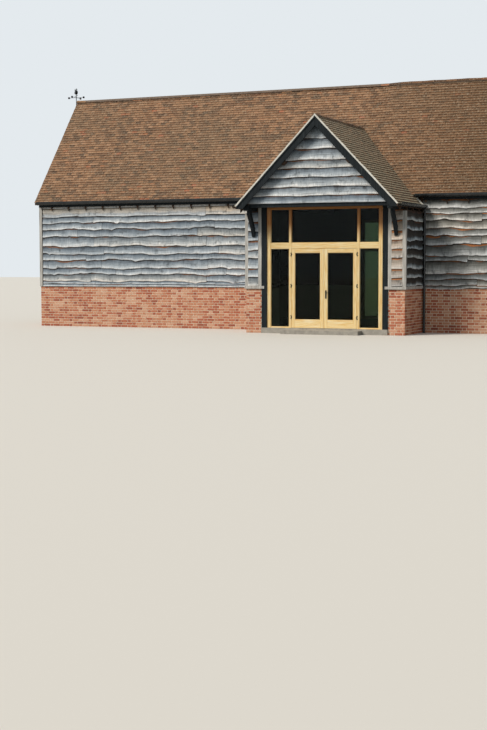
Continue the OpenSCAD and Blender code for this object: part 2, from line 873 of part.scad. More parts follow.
// Outline of a cockerel, drawn on a height of 1 with its feet at the origin
bird_outline = [
    [0.00, 0.00], [0.05, 0.16], [0.18, 0.24], [0.26, 0.40], [0.27, 0.56], [0.33, 0.74],
    [0.42, 0.78], [0.35, 0.84], [0.34, 0.93], [0.26, 0.89], [0.19, 0.95], [0.15, 0.84],
    [0.10, 0.64], [-0.06, 0.54], [-0.20, 0.62], [-0.34, 0.90], [-0.50, 1.00], [-0.62, 0.88],
    [-0.64, 0.62], [-0.56, 0.68], [-0.48, 0.46], [-0.30, 0.28], [-0.08, 0.18], [-0.06, 0.00]
];

// Outline of the cockerel's full body, within the one above
bird_body = [
    [0.02, 0.22], [0.16, 0.28], [0.23, 0.42], [0.23, 0.58], [0.16, 0.64], [0.08, 0.58],
    [-0.06, 0.50], [-0.22, 0.52], [-0.36, 0.50], [-0.40, 0.42], [-0.28, 0.29], [-0.08, 0.20]
];

module vane_bird() {
    sleeve_r = [spindle_r + spindle_gap, spindle_r + spindle_gap + 5];
    sleeve_h = bird_h * 0.75;
    perch_h = bird_h * 0.12;
    color("black") translate([mast_x, ridge_y, collar_z + 0.3]) rotate([0, 0, bird_turn])
        difference() {
            union() {
                cylinder(r = sleeve_r[1], h = sleeve_h, $fn = 24);
                along_y(-bird_body_t / 2, bird_body_t / 2)
                    translate([0, perch_h - 8]) scale(bird_h - perch_h) polygon(bird_body);
                along_y(-bird_t / 2, bird_t / 2) {
                    translate([0, perch_h - 8]) scale(bird_h - perch_h) polygon(bird_outline);
                    translate([-bird_h * 0.6, perch_h / 2]) square([bird_h * 1.1, perch_h / 2]);
                }
            }
            translate([0, 0, -1]) cylinder(r = sleeve_r[0], h = bird_h + 2, $fn = 24);
        }
}

plinth_front();
plinth_rear();
plinth_ends();
plinth_porch();
floor_slab();
entrance_sill();
doorstep();
wall_front_left();
wall_front_right();
wall_rear();
wall_rear_over_doorway();
gable_end_left();
gable_end_right();
porch_wall_left();
porch_wall_right();
porch_gable();
porch_sills();
corner_boards();
doorway_posts();
porch_wall_plates();
gable_brackets();
gable_tie_beam();
bargeboards();
porch_soffit();
porch_rafters();
purlins();
ridge_boards();
rafters();
valley_rafters();
tie_beams();
queen_posts();
roof_front();
roof_rear();
porch_roof_left();
porch_roof_right();
ridge_tiles();
entrance_frame();
entrance_glass();
door_left();
door_left_glass();
door_right();
door_right_glass();
door_handle();
rear_frame();
rear_glass();
gutters();
downpipes();
vane_mast();
vane_bird();
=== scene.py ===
# %% [markdown]
# # A weatherboarded barn with a gabled, glazed porch
# The barn is an oak frame on a brick plinth, clad in waney boards under a steep roof of plain clay tiles.
# A jettied gable stands over a glazed oak screen with double doors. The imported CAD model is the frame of
# this scene: its solids give every place and size, and this script adds the finish that lies on them.
# The comments before each cell say what the piece is, how it could be made and why this way was chosen.

# %% Load the frame
import math

import bmesh
import bpy
import numpy as np
from mathutils import Matrix, Vector


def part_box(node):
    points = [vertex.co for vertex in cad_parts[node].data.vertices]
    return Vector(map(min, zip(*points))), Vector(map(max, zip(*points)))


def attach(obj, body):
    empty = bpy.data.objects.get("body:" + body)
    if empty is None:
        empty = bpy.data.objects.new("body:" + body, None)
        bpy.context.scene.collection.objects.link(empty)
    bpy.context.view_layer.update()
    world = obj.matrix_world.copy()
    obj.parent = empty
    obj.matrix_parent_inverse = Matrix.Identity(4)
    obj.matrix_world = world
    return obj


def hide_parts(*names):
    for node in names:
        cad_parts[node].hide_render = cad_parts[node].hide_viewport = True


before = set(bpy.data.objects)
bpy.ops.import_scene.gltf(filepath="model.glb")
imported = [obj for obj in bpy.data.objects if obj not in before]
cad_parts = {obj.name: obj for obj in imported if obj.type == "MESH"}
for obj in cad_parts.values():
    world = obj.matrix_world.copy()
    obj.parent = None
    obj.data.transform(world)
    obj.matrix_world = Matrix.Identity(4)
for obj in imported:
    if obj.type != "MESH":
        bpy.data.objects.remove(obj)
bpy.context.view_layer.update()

# %% [markdown]
# ## Sizes taken from the frame
# Most places are read from the boxes of the CAD nodes, so that a piece always sits on what carries it.
# Only what a box can't tell, such as a pitch or the width of a post, is written out here, in metres.

# %% Sizes of the building
MAIN_PITCH = math.radians(51)
PORCH_PITCH = math.radians(46)
EAVE_TOP_Z = 3.81
PORCH_EAVE_TOP_Z = 3.47
WALL_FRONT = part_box("wall_front_right")
PLINTH_TOP = WALL_FRONT[0].z
WALL_TOP = WALL_FRONT[1].z
FRONT_Y = WALL_FRONT[0].y
REAR_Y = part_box("wall_rear")[1].y
HALF_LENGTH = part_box("gable_end_right")[1].x
ROOF_LOW, ROOF_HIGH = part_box("roof_front")
PORCH_LOW, PORCH_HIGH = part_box("porch_roof_right")
PORCH_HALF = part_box("porch_wall_right")[1].x
SCREEN_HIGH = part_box("entrance_frame")[1]
FLOOR_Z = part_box("floor_slab")[1].z
GABLE_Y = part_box("porch_gable")[0].y
print("length", round(2 * HALF_LENGTH, 2), "ridge", round(ROOF_HIGH.z, 2), "floor", round(FLOOR_Z, 2))

# %% [markdown]
# ## Small helpers
# Colours are written as sRGB hex values, the way a paint chart gives them, and turned to the linear values
# that Blender works in. One function adds any node, with its settings, its values and its links.

# %% Helpers for colours and nodes
def linear(code, alpha=1.0):
    """An sRGB hex colour such as "8a6a50" as linear RGBA."""
    parts = [int(code[i:i + 2], 16) / 255 for i in (0, 2, 4)]
    return [c / 12.92 if c <= 0.04045 else ((c + 0.055) / 1.055) ** 2.4 for c in parts] + [alpha]


def add(tree, kind, inputs=(), stops=(), **settings):
    """Adds a node. An input is a value, a socket, or a node whose first live output is meant."""
    made = tree.nodes.new(kind)
    for name, value in settings.items():
        setattr(made, name, value)
    for key, value in dict(inputs).items():
        if isinstance(value, bpy.types.Node):
            value = next(o for o in value.outputs if o.enabled)
        if isinstance(value, bpy.types.NodeSocket):
            tree.links.new(value, made.inputs[key])
        else:
            made.inputs[key].default_value = value
    if stops:
        band = made.color_ramp.elements
        band[0].position, band[0].color = stops[0][0], linear(stops[0][1])
        band[-1].position, band[-1].color = stops[-1][0], linear(stops[-1][1])
        for place, code in stops[1:-1]:
            band.new(place).color = linear(code)
    return made


def new_material(name, roughness, **values):
    """A material with its Principled shader, whose constant values are set on its own sockets."""
    made = bpy.data.materials.new(name)
    made.use_nodes = True
    shader = made.node_tree.nodes["Principled BSDF"]
    shader.inputs["Roughness"].default_value = roughness
    for key, value in values.items():
        shader.inputs[key.replace("_", " ")].default_value = value
    return made, made.node_tree, shader


# %% [markdown]
# ## Camera, floor and light
# The camera stands where the photograph was taken: 35 m in front of the porch and 12.6 m to its right, at
# eye height. Its place and focal length were solved from the building's own right angles. The daylight
# comes from the front left, so one soft sun stands there, and a plain world fills the shade.

# %% Camera
PHOTO_LONG_SIDE_PX = 730
FOCAL_PX = 1370.948
SENSOR_MM = 36
CAMERA_PLACE = Vector((12.5744, -35.0001, 1.8741))
CAMERA_YAW, CAMERA_PITCH, CAMERA_ROLL = 0.4034, -0.0729, -0.0013

camera_data = bpy.data.cameras.new("camera")
camera_data.sensor_width = SENSOR_MM
camera_data.lens = FOCAL_PX / PHOTO_LONG_SIDE_PX * SENSOR_MM
camera_data.clip_end = 500
camera = bpy.data.objects.new("camera", camera_data)
bpy.context.scene.collection.objects.link(camera)
bpy.context.scene.camera = camera
turn = (Matrix.Rotation(CAMERA_YAW, 4, "Z") @ Matrix.Rotation(math.pi / 2 + CAMERA_PITCH, 4, "X")
        @ Matrix.Rotation(CAMERA_ROLL, 4, "Z"))
camera.matrix_world = Matrix.Translation(CAMERA_PLACE) @ turn
bpy.context.scene.view_settings.view_transform = "Standard"
print("lens", round(camera_data.lens, 1), "mm")

# %% Floor
def seen_directly(tree):
    """1 for a ray that shows the backdrop itself: straight on, in a reflection or through glass."""
    rays = add(tree, "ShaderNodeLightPath").outputs
    seen = add(tree, "ShaderNodeMath", {0: rays["Is Camera Ray"], 1: rays["Is Glossy Ray"]},
               operation="MAXIMUM")
    return add(tree, "ShaderNodeMath", {0: seen, 1: rays["Is Transmission Ray"]}, operation="MAXIMUM")


FLOOR_HALF = 150
FLOOR_COLOUR = "d9d6cf"
GROUND_COLOUR = "74736c"
floor_mesh = bpy.data.meshes.new("studio_floor")
floor_mesh.from_pydata([(-FLOOR_HALF, -FLOOR_HALF, 0), (FLOOR_HALF, -FLOOR_HALF, 0),
                        (FLOOR_HALF, FLOOR_HALF, 0), (-FLOOR_HALF, FLOOR_HALF, 0)], [], [(0, 1, 2, 3)])
floor = bpy.data.objects.new("studio_floor", floor_mesh)
bpy.context.scene.collection.objects.link(floor)
paint, tree, shader = new_material("pale studio floor", 0.9)
# The floor looks pale, but throws back only as much light as ordinary ground does
ground = add(tree, "ShaderNodeMix", {0: seen_directly(tree), 6: linear(GROUND_COLOUR),
                                     7: linear(FLOOR_COLOUR)}, data_type="RGBA")
tree.links.new(ground.outputs[2], shader.inputs["Base Color"])
floor_mesh.materials.append(paint)
print("floor", 2 * FLOOR_HALF, "m wide")

# %% Sky and sun
FILL_STRENGTH = 0.5
SKY_COLOUR = "e4eaee"
world = bpy.data.worlds.new("studio world")
bpy.context.scene.world = world
world.use_nodes = True
tree = world.node_tree
strength = add(tree, "ShaderNodeMapRange", {"Value": seen_directly(tree), "To Min": FILL_STRENGTH,
                                            "To Max": 1.0})
tree.nodes["Background"].inputs["Color"].default_value = linear(SKY_COLOUR)
tree.links.new(strength.outputs[0], tree.nodes["Background"].inputs["Strength"])

SUN_STRENGTH = 3.0
SUN_COLOUR = "fff6ea"
SUN_SPREAD = math.radians(20)
SUN_FROM_LEFT = math.radians(40)
SUN_HEIGHT = math.radians(42)
sun_data = bpy.data.lights.new("sun", "SUN")
sun_data.energy = SUN_STRENGTH
sun_data.angle = SUN_SPREAD
sun_data.color = linear(SUN_COLOUR)[:3]
sun = bpy.data.objects.new("sun", sun_data)
bpy.context.scene.collection.objects.link(sun)
sun_side = Vector((-math.sin(SUN_FROM_LEFT), -math.cos(SUN_FROM_LEFT), math.tan(SUN_HEIGHT)))
sun.rotation_euler = sun_side.to_track_quat("Z", "Y").to_euler()
print("sun", SUN_STRENGTH, "and sky", FILL_STRENGTH)

# %% [markdown]
# ## Materials
# Each one is named for what the real finish is. A pattern's scale comes from a real size: a tile is 165 mm
# wide, a brick course 75 mm high, and oak grain is drawn at a few millimetres, which is as fine as shows.
# Boards and planed timbers carry their own UV map in metres along and across the grain, and an attribute
# "tone" that differs from piece to piece. Everything else reads Object coordinates.

# %% The last step of a pattern
def dress(tree, shader, colour, relief, strength, depth, shade=None):
    """Gives a shader its colour, times a fine shade where there is one, and a bump from its relief."""
    if shade is not None:
        colour = add(tree, "ShaderNodeMix", {0: 1.0, 6: colour, 7: shade}, data_type="RGBA",
                     blend_type="MULTIPLY")
    tree.links.new(colour.outputs[2], shader.inputs["Base Color"])
    bump = add(tree, "ShaderNodeBump", {"Height": relief, "Strength": strength, "Distance": depth})
    tree.links.new(bump.outputs[0], shader.inputs["Normal"])


# %% Weathered waney oak boards
def weathered_oak(name, weather_and_painted_light, fresh, fresh_from):
    """Silvered oak boarding. The ramp of colours runs from the lip of a board (0), bleached and painted
    with a highlight, up to dirt and painted shade under the next lap (1); rain drips blur the bands. fresh
    is brown wood that shows above fresh_from."""
    made, tree, shader = new_material(name, 0.82, Specular_IOR_Level=0.25)
    grain_map = add(tree, "ShaderNodeUVMap", uv_map="grain")
    tone = add(tree, "ShaderNodeAttribute", attribute_name="tone").outputs["Fac"]
    rise = add(tree, "ShaderNodeAttribute", attribute_name="rise").outputs["Fac"]

    def grain(along, across, detail):
        spread = add(tree, "ShaderNodeMapping", {"Vector": grain_map, "Scale": (along, across, 1)})
        return add(tree, "ShaderNodeTexNoise", {"Vector": spread, "Scale": 1.0, "Detail": detail,
                                                "Roughness": 0.62})

    streaks = grain(1.3, 30, 5)
    fine = grain(4, 130, 3)
    comb = grain(48, 4.5, 3)
    blotches = grain(2.6, 2.2, 4)
    drips = grain(17, 2.4, 4)
    patches = grain(0.8, 2.0, 2)
    knots = grain(5.5, 5, 4)
    # Drips and blotches push the bands up and down by about a third of the board
    band = add(tree, "ShaderNodeMath", {0: drips, 1: 0.3, 2: rise}, operation="MULTIPLY_ADD")
    band = add(tree, "ShaderNodeMath", {0: blotches, 1: 0.7, 2: band}, operation="MULTIPLY_ADD")
    band = add(tree, "ShaderNodeMath", {0: band, 1: 0.5}, operation="SUBTRACT")
    # Bands from a pale lip, bleached and painted with a highlight, to dirt and painted shade at the top of
    # the board
    silver = add(tree, "ShaderNodeValToRGB", {0: band}, weather_and_painted_light)
    # Some boards weather a little bluer or warmer than the next
    cast = add(tree, "ShaderNodeValToRGB", {0: tone}, [
        (0.0, "d0d5da"), (0.35, "eef0f2"), (0.6, "ffffff"), (0.85, "faf6f1"), (1.0, "f0e8de")])
    toned = add(tree, "ShaderNodeMix", {0: 1.0, 6: silver, 7: cast}, data_type="RGBA",
                blend_type="MULTIPLY")
    # Smoky patches round the knots
    smoke = add(tree, "ShaderNodeMapRange", {"Value": knots, "From Min": 0.56, "From Max": 0.72,
                                             "To Max": 0.7})
    toned = add(tree, "ShaderNodeMix", {0: smoke, 6: toned, 7: linear("3f4549")}, data_type="RGBA")
    # Long streaks of bare wood under the lap, where neither rain nor sun comes
    bare = add(tree, "ShaderNodeMath", {0: patches, 1: 1.1, 2: rise}, operation="MULTIPLY_ADD")
    bare = add(tree, "ShaderNodeMath", {0: streaks, 1: 0.2, 2: bare}, operation="MULTIPLY_ADD")
    bare = add(tree, "ShaderNodeMapRange", {"Value": bare, "From Min": fresh_from,
                                            "From Max": fresh_from + 0.05, "To Max": 0.9})
    oak = add(tree, "ShaderNodeMix", {0: bare, 6: toned, 7: linear(fresh)}, data_type="RGBA")
    # A dark line of dirt and painted shade, close under the next lap
    lap = add(tree, "ShaderNodeMapRange", {"Value": rise, "From Min": 0.88, "From Max": 0.96,
                                           "To Max": 0.8})
    oak = add(tree, "ShaderNodeMix", {0: lap, 6: oak, 7: linear("2a221e")}, data_type="RGBA")
    # Open grain: dark cracks along the board, a finer tooth between them, and short upright runs of rain
    crack = add(tree, "ShaderNodeMapRange", {"Value": streaks, "From Min": 0.3, "From Max": 0.52,
                                             "To Min": 0.5, "To Max": 1.0})
    tooth = add(tree, "ShaderNodeMapRange", {"Value": fine, "From Min": 0.3, "From Max": 0.7,
                                             "To Min": 0.84, "To Max": 1.08})
    rain = add(tree, "ShaderNodeMapRange", {"Value": comb, "From Min": 0.3, "From Max": 0.7,
                                            "To Min": 0.78, "To Max": 1.14})
    shade = add(tree, "ShaderNodeMath", {0: crack, 1: tooth}, operation="MULTIPLY")
    shade = add(tree, "ShaderNodeMath", {0: shade, 1: rain}, operation="MULTIPLY")
    relief = add(tree, "ShaderNodeMath", {0: streaks, 1: fine}, operation="ADD")
    dress(tree, shader, oak, relief, 0.55, 0.006, shade)
    return made


# Each ramp runs from a lip painted partly as lit to a top painted partly as shaded
BOARDS = weathered_oak("silvered waney oak boards", [
    (0.0, "ffffff"), (0.1, "f8fcff"), (0.24, "d6dfe6"), (0.5, "aab6c0"), (0.75, "8894a0"), (0.92, "626a72"),
    (1.0, "45464a")], "94603c", 1.585)
# Browner boards with more bare wood, and darker colours that paint the shade beside the porch
BROWN_BOARDS_WITH_PAINTED_SHADE = weathered_oak("browner waney oak boards with painted shade", [
    (0.0, "ffffff"), (0.1, "f4f4f1"), (0.24, "c8cac9"), (0.5, "9a9c99"), (0.75, "797a76"), (0.92, "595955"),
    (1.0, "3c3834")], "b06e3e", 1.545)
TAN_BOARDS = weathered_oak("silvered oak, still tan under the lap", [
    (0.0, "ffffff"), (0.1, "eef2f5"), (0.3, "c9cfd4"), (0.45, "ddd8d1"), (0.7, "efe5d8"), (0.95, "f2e5d2"),
    (1.0, "e6cfb2")], "c89a68", 1.7)
PALE_BOARDS = weathered_oak("pale dry oak under the eaves", [
    (0.0, "ffffff"), (0.15, "fbf8f4"), (0.4, "f2ede7"), (1.0, "dcd4cb")], "a88a6c", 2.0)
PANEL_BOARDS = weathered_oak("young oak boards of the porch", [
    (0.0, "f4ece4"), (0.3, "dccfc3"), (0.6, "c2b4a5"), (0.9, "94857a"), (1.0, "5e4c40")], "c27c4a", 1.5)
# The same boards in darker colours: painted shade for the porch side that faces away from the sun
PAINTED_SHADE_BOARDS = weathered_oak("oak boards darkened with painted shade", [
    (0.0, "e8f2f7"), (0.14, "c2ced6"), (0.28, "7a8388"), (0.42, "423f3c"), (0.7, "2e2a27"),
    (1.0, "1b1917")], "5a3a2a", 1.62)
print("boards are ready")

# %% Planed timber: golden oak and black stained timber
# Heights over which painted shade under the jetty comes in on the oak
JETTY_SHADE_FROM, JETTY_SHADE_FULL = 2.55, 3.0


def planed_timber(name, pale, middle, dark, roughness, coat=0.0, wear="", jetty_shade="", uv=True,
                  gloss=0.3):
    """Sawn or planed wood. Grain runs along the first direction of the UV map, or along Z on a CAD node.
    wear is the colour that shows through where a stain has worn off. The colour given for the jetty is
    painted
    shade: it deepens the oak high up, where the jetty's shadow falls."""
    made, tree, shader = new_material(name, roughness, Specular_IOR_Level=gloss, Coat_Weight=coat)
    if uv:
        place = add(tree, "ShaderNodeUVMap", uv_map="grain")
        scales = (2.2, 42, 1), (6, 190, 1)
    else:
        place = add(tree, "ShaderNodeTexCoord").outputs["Object"]
        scales = (38, 38, 2.2), (150, 150, 6)
    coarse, fine = [add(tree, "ShaderNodeMapping", {"Vector": place, "Scale": scale}) for scale in scales]
    bands = add(tree, "ShaderNodeTexNoise", {"Vector": coarse, "Scale": 1.0, "Detail": 5,
                                             "Roughness": 0.6, "Distortion": 0.6})
    pores = add(tree, "ShaderNodeTexNoise", {"Vector": fine, "Scale": 1.0, "Detail": 3})
    wood = add(tree, "ShaderNodeValToRGB", {0: bands}, [(0.3, dark), (0.5, middle), (0.7, pale)])
    tone = add(tree, "ShaderNodeAttribute", attribute_name="tone").outputs["Fac"]
    deeper = add(tree, "ShaderNodeMath", {0: tone, 1: 0.25}, operation="MULTIPLY")
    toned = add(tree, "ShaderNodeMix", {0: deeper, 6: wood, 7: linear(dark)}, data_type="RGBA")
    shade = add(tree, "ShaderNodeMapRange", {"Value": pores, "From Min": 0.3, "From Max": 0.7,
                                             "To Min": 0.86, "To Max": 1.06})
    whole = add(tree, "ShaderNodeMix", {0: 1.0, 6: toned, 7: shade}, data_type="RGBA",
                blend_type="MULTIPLY")
    # Painted shade: high up under the jetty the oak turns deeper, where the jetty's shadow falls
    if jetty_shade:
        spot = add(tree, "ShaderNodeTexCoord").outputs["Object"]
        height = add(tree, "ShaderNodeSeparateXYZ", {0: spot}).outputs["Z"]
        kept = add(tree, "ShaderNodeMapRange", {"Value": height, "From Min": JETTY_SHADE_FROM,
                                                "From Max": JETTY_SHADE_FULL, "To Max": 0.85})
        shaded_oak = add(tree, "ShaderNodeMix", {0: 1.0, 6: whole, 7: linear(jetty_shade)}, data_type="RGBA",
                   blend_type="MULTIPLY")
        whole = add(tree, "ShaderNodeMix", {0: kept, 6: whole, 7: shaded_oak}, data_type="RGBA")
    if wear:
        worn = add(tree, "ShaderNodeMapRange", {"Value": bands, "From Min": 0.62, "From Max": 0.74,
                                                "To Max": 0.7})
        whole = add(tree, "ShaderNodeMix", {0: worn, 6: whole, 7: linear(wear)}, data_type="RGBA")
    relief = add(tree, "ShaderNodeMath", {0: bands, 1: pores}, operation="ADD")
    dress(tree, shader, whole, relief, 0.35, 0.002)
    return made


# The oak is painted deeper high up, as shade under the jetty
OAK = planed_timber("golden planed oak, oiled", "fff4d2", "fae0a4", "e6b464", 0.45, coat=0.15,
                    jetty_shade="c88a48")
BLACK_CAD_TIMBER = planed_timber("black stained oak", "2a3135", "20262a", "14191c", 0.6,
                                 wear="454c4f", uv=False, gloss=0.12)
GREY_CAD_TIMBER = planed_timber("silvered oak sills", "dad9d5", "bebcb7", "8b8985", 0.8, uv=False)
OLD_OAK = planed_timber("old brown frame oak", "5a4433", "443328", "2b211b", 0.8, uv=False)
print("timbers are ready")


# %% Plain clay tiles
def clay_tiles(name, colours, moss, tail=0.0):
    """Handmade tiles. Each has a tone of its own from the kiln; weathering darkens broad patches, and grey
    lichen and moss grow in spots. moss is the colour that the patches lean to. tail is how strongly lichen
    whitens the lower edge of each tile, where the attribute "rise" is 0; under the next lap it is painted
    dark, as dirt and shade."""
    made, tree, shader = new_material(name, 0.86, Specular_IOR_Level=0.25)
    place = add(tree, "ShaderNodeTexCoord").outputs["Object"]
    tone = add(tree, "ShaderNodeAttribute", attribute_name="tone").outputs["Fac"]
    clay = add(tree, "ShaderNodeValToRGB", {0: tone}, colours)
    broad = add(tree, "ShaderNodeTexNoise", {"Vector": place, "Scale": 0.55, "Detail": 6,
                                             "Roughness": 0.62})
    patch = add(tree, "ShaderNodeMapRange", {"Value": broad, "From Min": 0.42, "From Max": 0.68,
                                             "To Max": 0.5})
    aged = add(tree, "ShaderNodeMix", {0: patch, 6: clay, 7: linear(moss)}, data_type="RGBA")
    growth = add(tree, "ShaderNodeTexNoise", {"Vector": place, "Scale": 21, "Detail": 5,
                                              "Roughness": 0.72})
    lichen = add(tree, "ShaderNodeMapRange", {"Value": growth, "From Min": 0.54, "From Max": 0.64,
                                              "To Max": 0.75})
    soot = add(tree, "ShaderNodeMapRange", {"Value": growth, "From Min": 0.46, "From Max": 0.36,
                                            "To Max": 0.8})
    # To the right of the porch the roof is browner
    along = add(tree, "ShaderNodeSeparateXYZ", {0: place}).outputs["X"]
    side = add(tree, "ShaderNodeMapRange", {"Value": along, "From Min": -1.0, "From Max": 4.5,
                                            "To Max": 0.9})
    aged = add(tree, "ShaderNodeMix", {0: side, 6: aged, 7: linear("5e3f22")}, data_type="RGBA")
    aged = add(tree, "ShaderNodeMix", {0: soot, 6: aged, 7: linear("3c2e26")}, data_type="RGBA")
    grown = add(tree, "ShaderNodeMix", {0: lichen, 6: aged, 7: linear("aa9c88")}, data_type="RGBA")
    if tail:
        rise = add(tree, "ShaderNodeAttribute", attribute_name="rise").outputs["Fac"]
        edge = add(tree, "ShaderNodeMapRange", {"Value": rise, "From Min": 0.42, "From Max": 0.1,
                                                "To Max": tail})
        grown = add(tree, "ShaderNodeMix", {0: edge, 6: grown, 7: linear("c6bca0")}, data_type="RGBA")
        # Dirt and painted shade close under the tail of the course above
        lap = add(tree, "ShaderNodeMapRange", {"Value": rise, "From Min": 0.62, "From Max": 0.95,
                                               "To Max": 0.6})
        grown = add(tree, "ShaderNodeMix", {0: lap, 6: grown, 7: linear("3a2c24")}, data_type="RGBA")
    grit = add(tree, "ShaderNodeTexNoise", {"Vector": place, "Scale": 160, "Detail": 3})
    shade = add(tree, "ShaderNodeMapRange", {"Value": grit, "From Min": 0.3, "From Max": 0.7,
                                             "To Min": 0.84, "To Max": 1.1})
    dress(tree, shader, grown, grit, 0.4, 0.002, shade)
    return made


MAIN_TILES = clay_tiles("weathered clay tiles", [
    (0.0, "5e4839"), (0.15, "76553f"), (0.5, "8e674b"), (0.85, "a17858"), (0.96, "aa8264"),
    (0.985, "a06a48"), (1.0, "aa6448")], "72604c", tail=0.2)
PORCH_TILES = clay_tiles("mossy clay tiles", [
    (0.0, "453a31"), (0.25, "6b5040"), (0.6, "8c6c56"), (0.9, "a8866a"),
    (1.0, "b87c54")], "6f6a54", tail=0.9)
RIDGE_TILES = clay_tiles("ridge tiles", [
    (0.0, "46382f"), (0.3, "6e5240"), (0.6, "9a7254"), (0.85, "ae8560"), (1.0, "bf7f62")], "6f6153")
print("tiles are ready")


# %% Brick, mortar, stone and concrete
def grainy(name, colours, roughness, scale, depth, tone=False):
    """A mineral surface: colours spread over a noise of grains, or over the tone of each brick."""
    made, tree, shader = new_material(name, roughness, Specular_IOR_Level=0.25)
    place = add(tree, "ShaderNodeTexCoord").outputs["Object"]
    cloud = add(tree, "ShaderNodeTexNoise", {"Vector": place, "Scale": scale, "Detail": 6,
                                             "Roughness": 0.65})
    fac = cloud
    if tone:
        own = add(tree, "ShaderNodeAttribute", attribute_name="tone").outputs["Fac"]
        fac = add(tree, "ShaderNodeMix", {0: 0.35, 2: own, 3: cloud})
    ground = add(tree, "ShaderNodeValToRGB", {0: fac}, colours)
    grit = add(tree, "ShaderNodeTexNoise", {"Vector": place, "Scale": scale * 14, "Detail": 4})
    shade = add(tree, "ShaderNodeMapRange", {"Value": grit, "From Min": 0.3, "From Max": 0.7,
                                             "To Min": 0.82, "To Max": 1.1})
    dress(tree, shader, ground, grit, 0.5, depth, shade)
    return made


BRICK = grainy("handmade red brick", [(0.15, "a45e4a"), (0.35, "c27458"), (0.6, "d29474"),
                                      (0.85, "e2b296")], 0.88, 9, 0.003, tone=True)
MORTAR = grainy("lime mortar", [(0.3, "f0e4c8"), (0.7, "fff8e4")], 0.95, 12, 0.003)
OLD_MORTAR = grainy("weathered ridge mortar", [(0.3, "5e5146"), (0.7, "85766a")], 0.95, 12, 0.003)
PALE_MORTAR = grainy("pale verge mortar", [(0.3, "d3d2c8"), (0.7, "f2f1ea")], 0.95, 14, 0.004)
STONE = grainy("worn grey stone", [(0.3, "97928a"), (0.55, "aea99f"), (0.75, "c0bab0")], 0.85, 7, 0.002)
CONCRETE = grainy("power-floated floor", [(0.35, "76726a"), (0.7, "96918a")], 0.55, 3, 0.001)
print("masonry is ready")


# %% Glass, painted metal and iron
def smooth(name, code, roughness, **values):
    """A painted or cast surface with a faint unevenness in its gloss and colour."""
    made, tree, shader = new_material(name, roughness, **values)
    place = add(tree, "ShaderNodeTexCoord").outputs["Object"]
    cloud = add(tree, "ShaderNodeTexNoise", {"Vector": place, "Scale": 9, "Detail": 5, "Roughness": 0.6})
    dusty = add(tree, "ShaderNodeMapRange", {"Value": cloud, "From Min": 0.45, "From Max": 0.75,
                                             "To Max": 0.25})
    paint = add(tree, "ShaderNodeMix", {0: dusty, 6: linear(code), 7: linear("4c5254")},
                data_type="RGBA")
    tree.links.new(paint.outputs[2], shader.inputs["Base Color"])
    gloss = add(tree, "ShaderNodeMapRange", {"Value": cloud, "To Min": roughness - 0.08,
                                             "To Max": roughness + 0.15})
    tree.links.new(gloss.outputs[0], shader.inputs["Roughness"])
    return made


def float_glass(name, code):
    """Smooth glass with a tint. A low IOR keeps both sheets of a unit from hiding what is inside."""
    made, tree, shader = new_material(name, 0.02, Transmission_Weight=1.0, IOR=1.16)
    shader.inputs["Base Color"].default_value = linear(code)
    return made


GUTTER_PAINT = smooth("black gutter paint", "0c1114", 0.24)
IRON = smooth("black wrought iron", "17181a", 0.5, Metallic=0.6)
GLASS = float_glass("clear float glass", "b9c4bf")
REAR_GLASS = float_glass("green tinted rear glass", "5f6c50")
print("glass and metal are ready")

# %% [markdown]
# ## Finish of the CAD nodes
# The nodes whose shape is right stay in the scene and only get a better material. The boarded walls stay as
# the sheathing behind the boards, and the plinths as the mortar behind the bricks. Nodes that are made anew
# further down, such as the screen and the doors, need no finish here.

# %% Materials of the CAD nodes
CAD_FINISH = {
    MORTAR: "plinth_front plinth_rear plinth_ends plinth_porch",
    CONCRETE: "floor_slab",
    STONE: "entrance_sill doorstep",
    OLD_OAK: "wall_front_left wall_front_right wall_rear wall_rear_over_doorway gable_end_left "
             "gable_end_right porch_wall_left porch_wall_right porch_gable porch_rafters purlins "
             "ridge_boards rafters valley_rafters tie_beams queen_posts roof_front roof_rear "
             "porch_roof_left porch_roof_right",
    GREY_CAD_TIMBER: "porch_sills corner_boards",
    BLACK_CAD_TIMBER: "doorway_posts porch_wall_plates gable_tie_beam bargeboards porch_soffit",
    REAR_GLASS: "rear_glass",
    IRON: "door_handle vane_mast vane_bird",
    GUTTER_PAINT: "gutters downpipes",
}
for finish, names in CAD_FINISH.items():
    for name in names.split():
        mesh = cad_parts[name].data
        mesh.materials.clear()
        mesh.materials.append(finish)
print("finished", sum(len(names.split()) for names in CAD_FINISH.values()), "nodes")

# %% [markdown]
# ## Faces of the building as drawing boards
# Tiles, bricks and boards are laid out flat, in metres to the right, up and out of the face that carries
# them. One matrix for each face then stands the finished mesh in its place, so a course is always drawn as
# a straight line, however steep the roof is.

# %% Planes
def plane(origin, right, up):
    """The matrix from a face's own (right, up, out) to the building's X, Y and Z."""
    right, up = Vector(right), Vector(up)
    made = Matrix((right, up, right.cross(up))).transposed().to_4x4()
    made.translation = origin
    return made


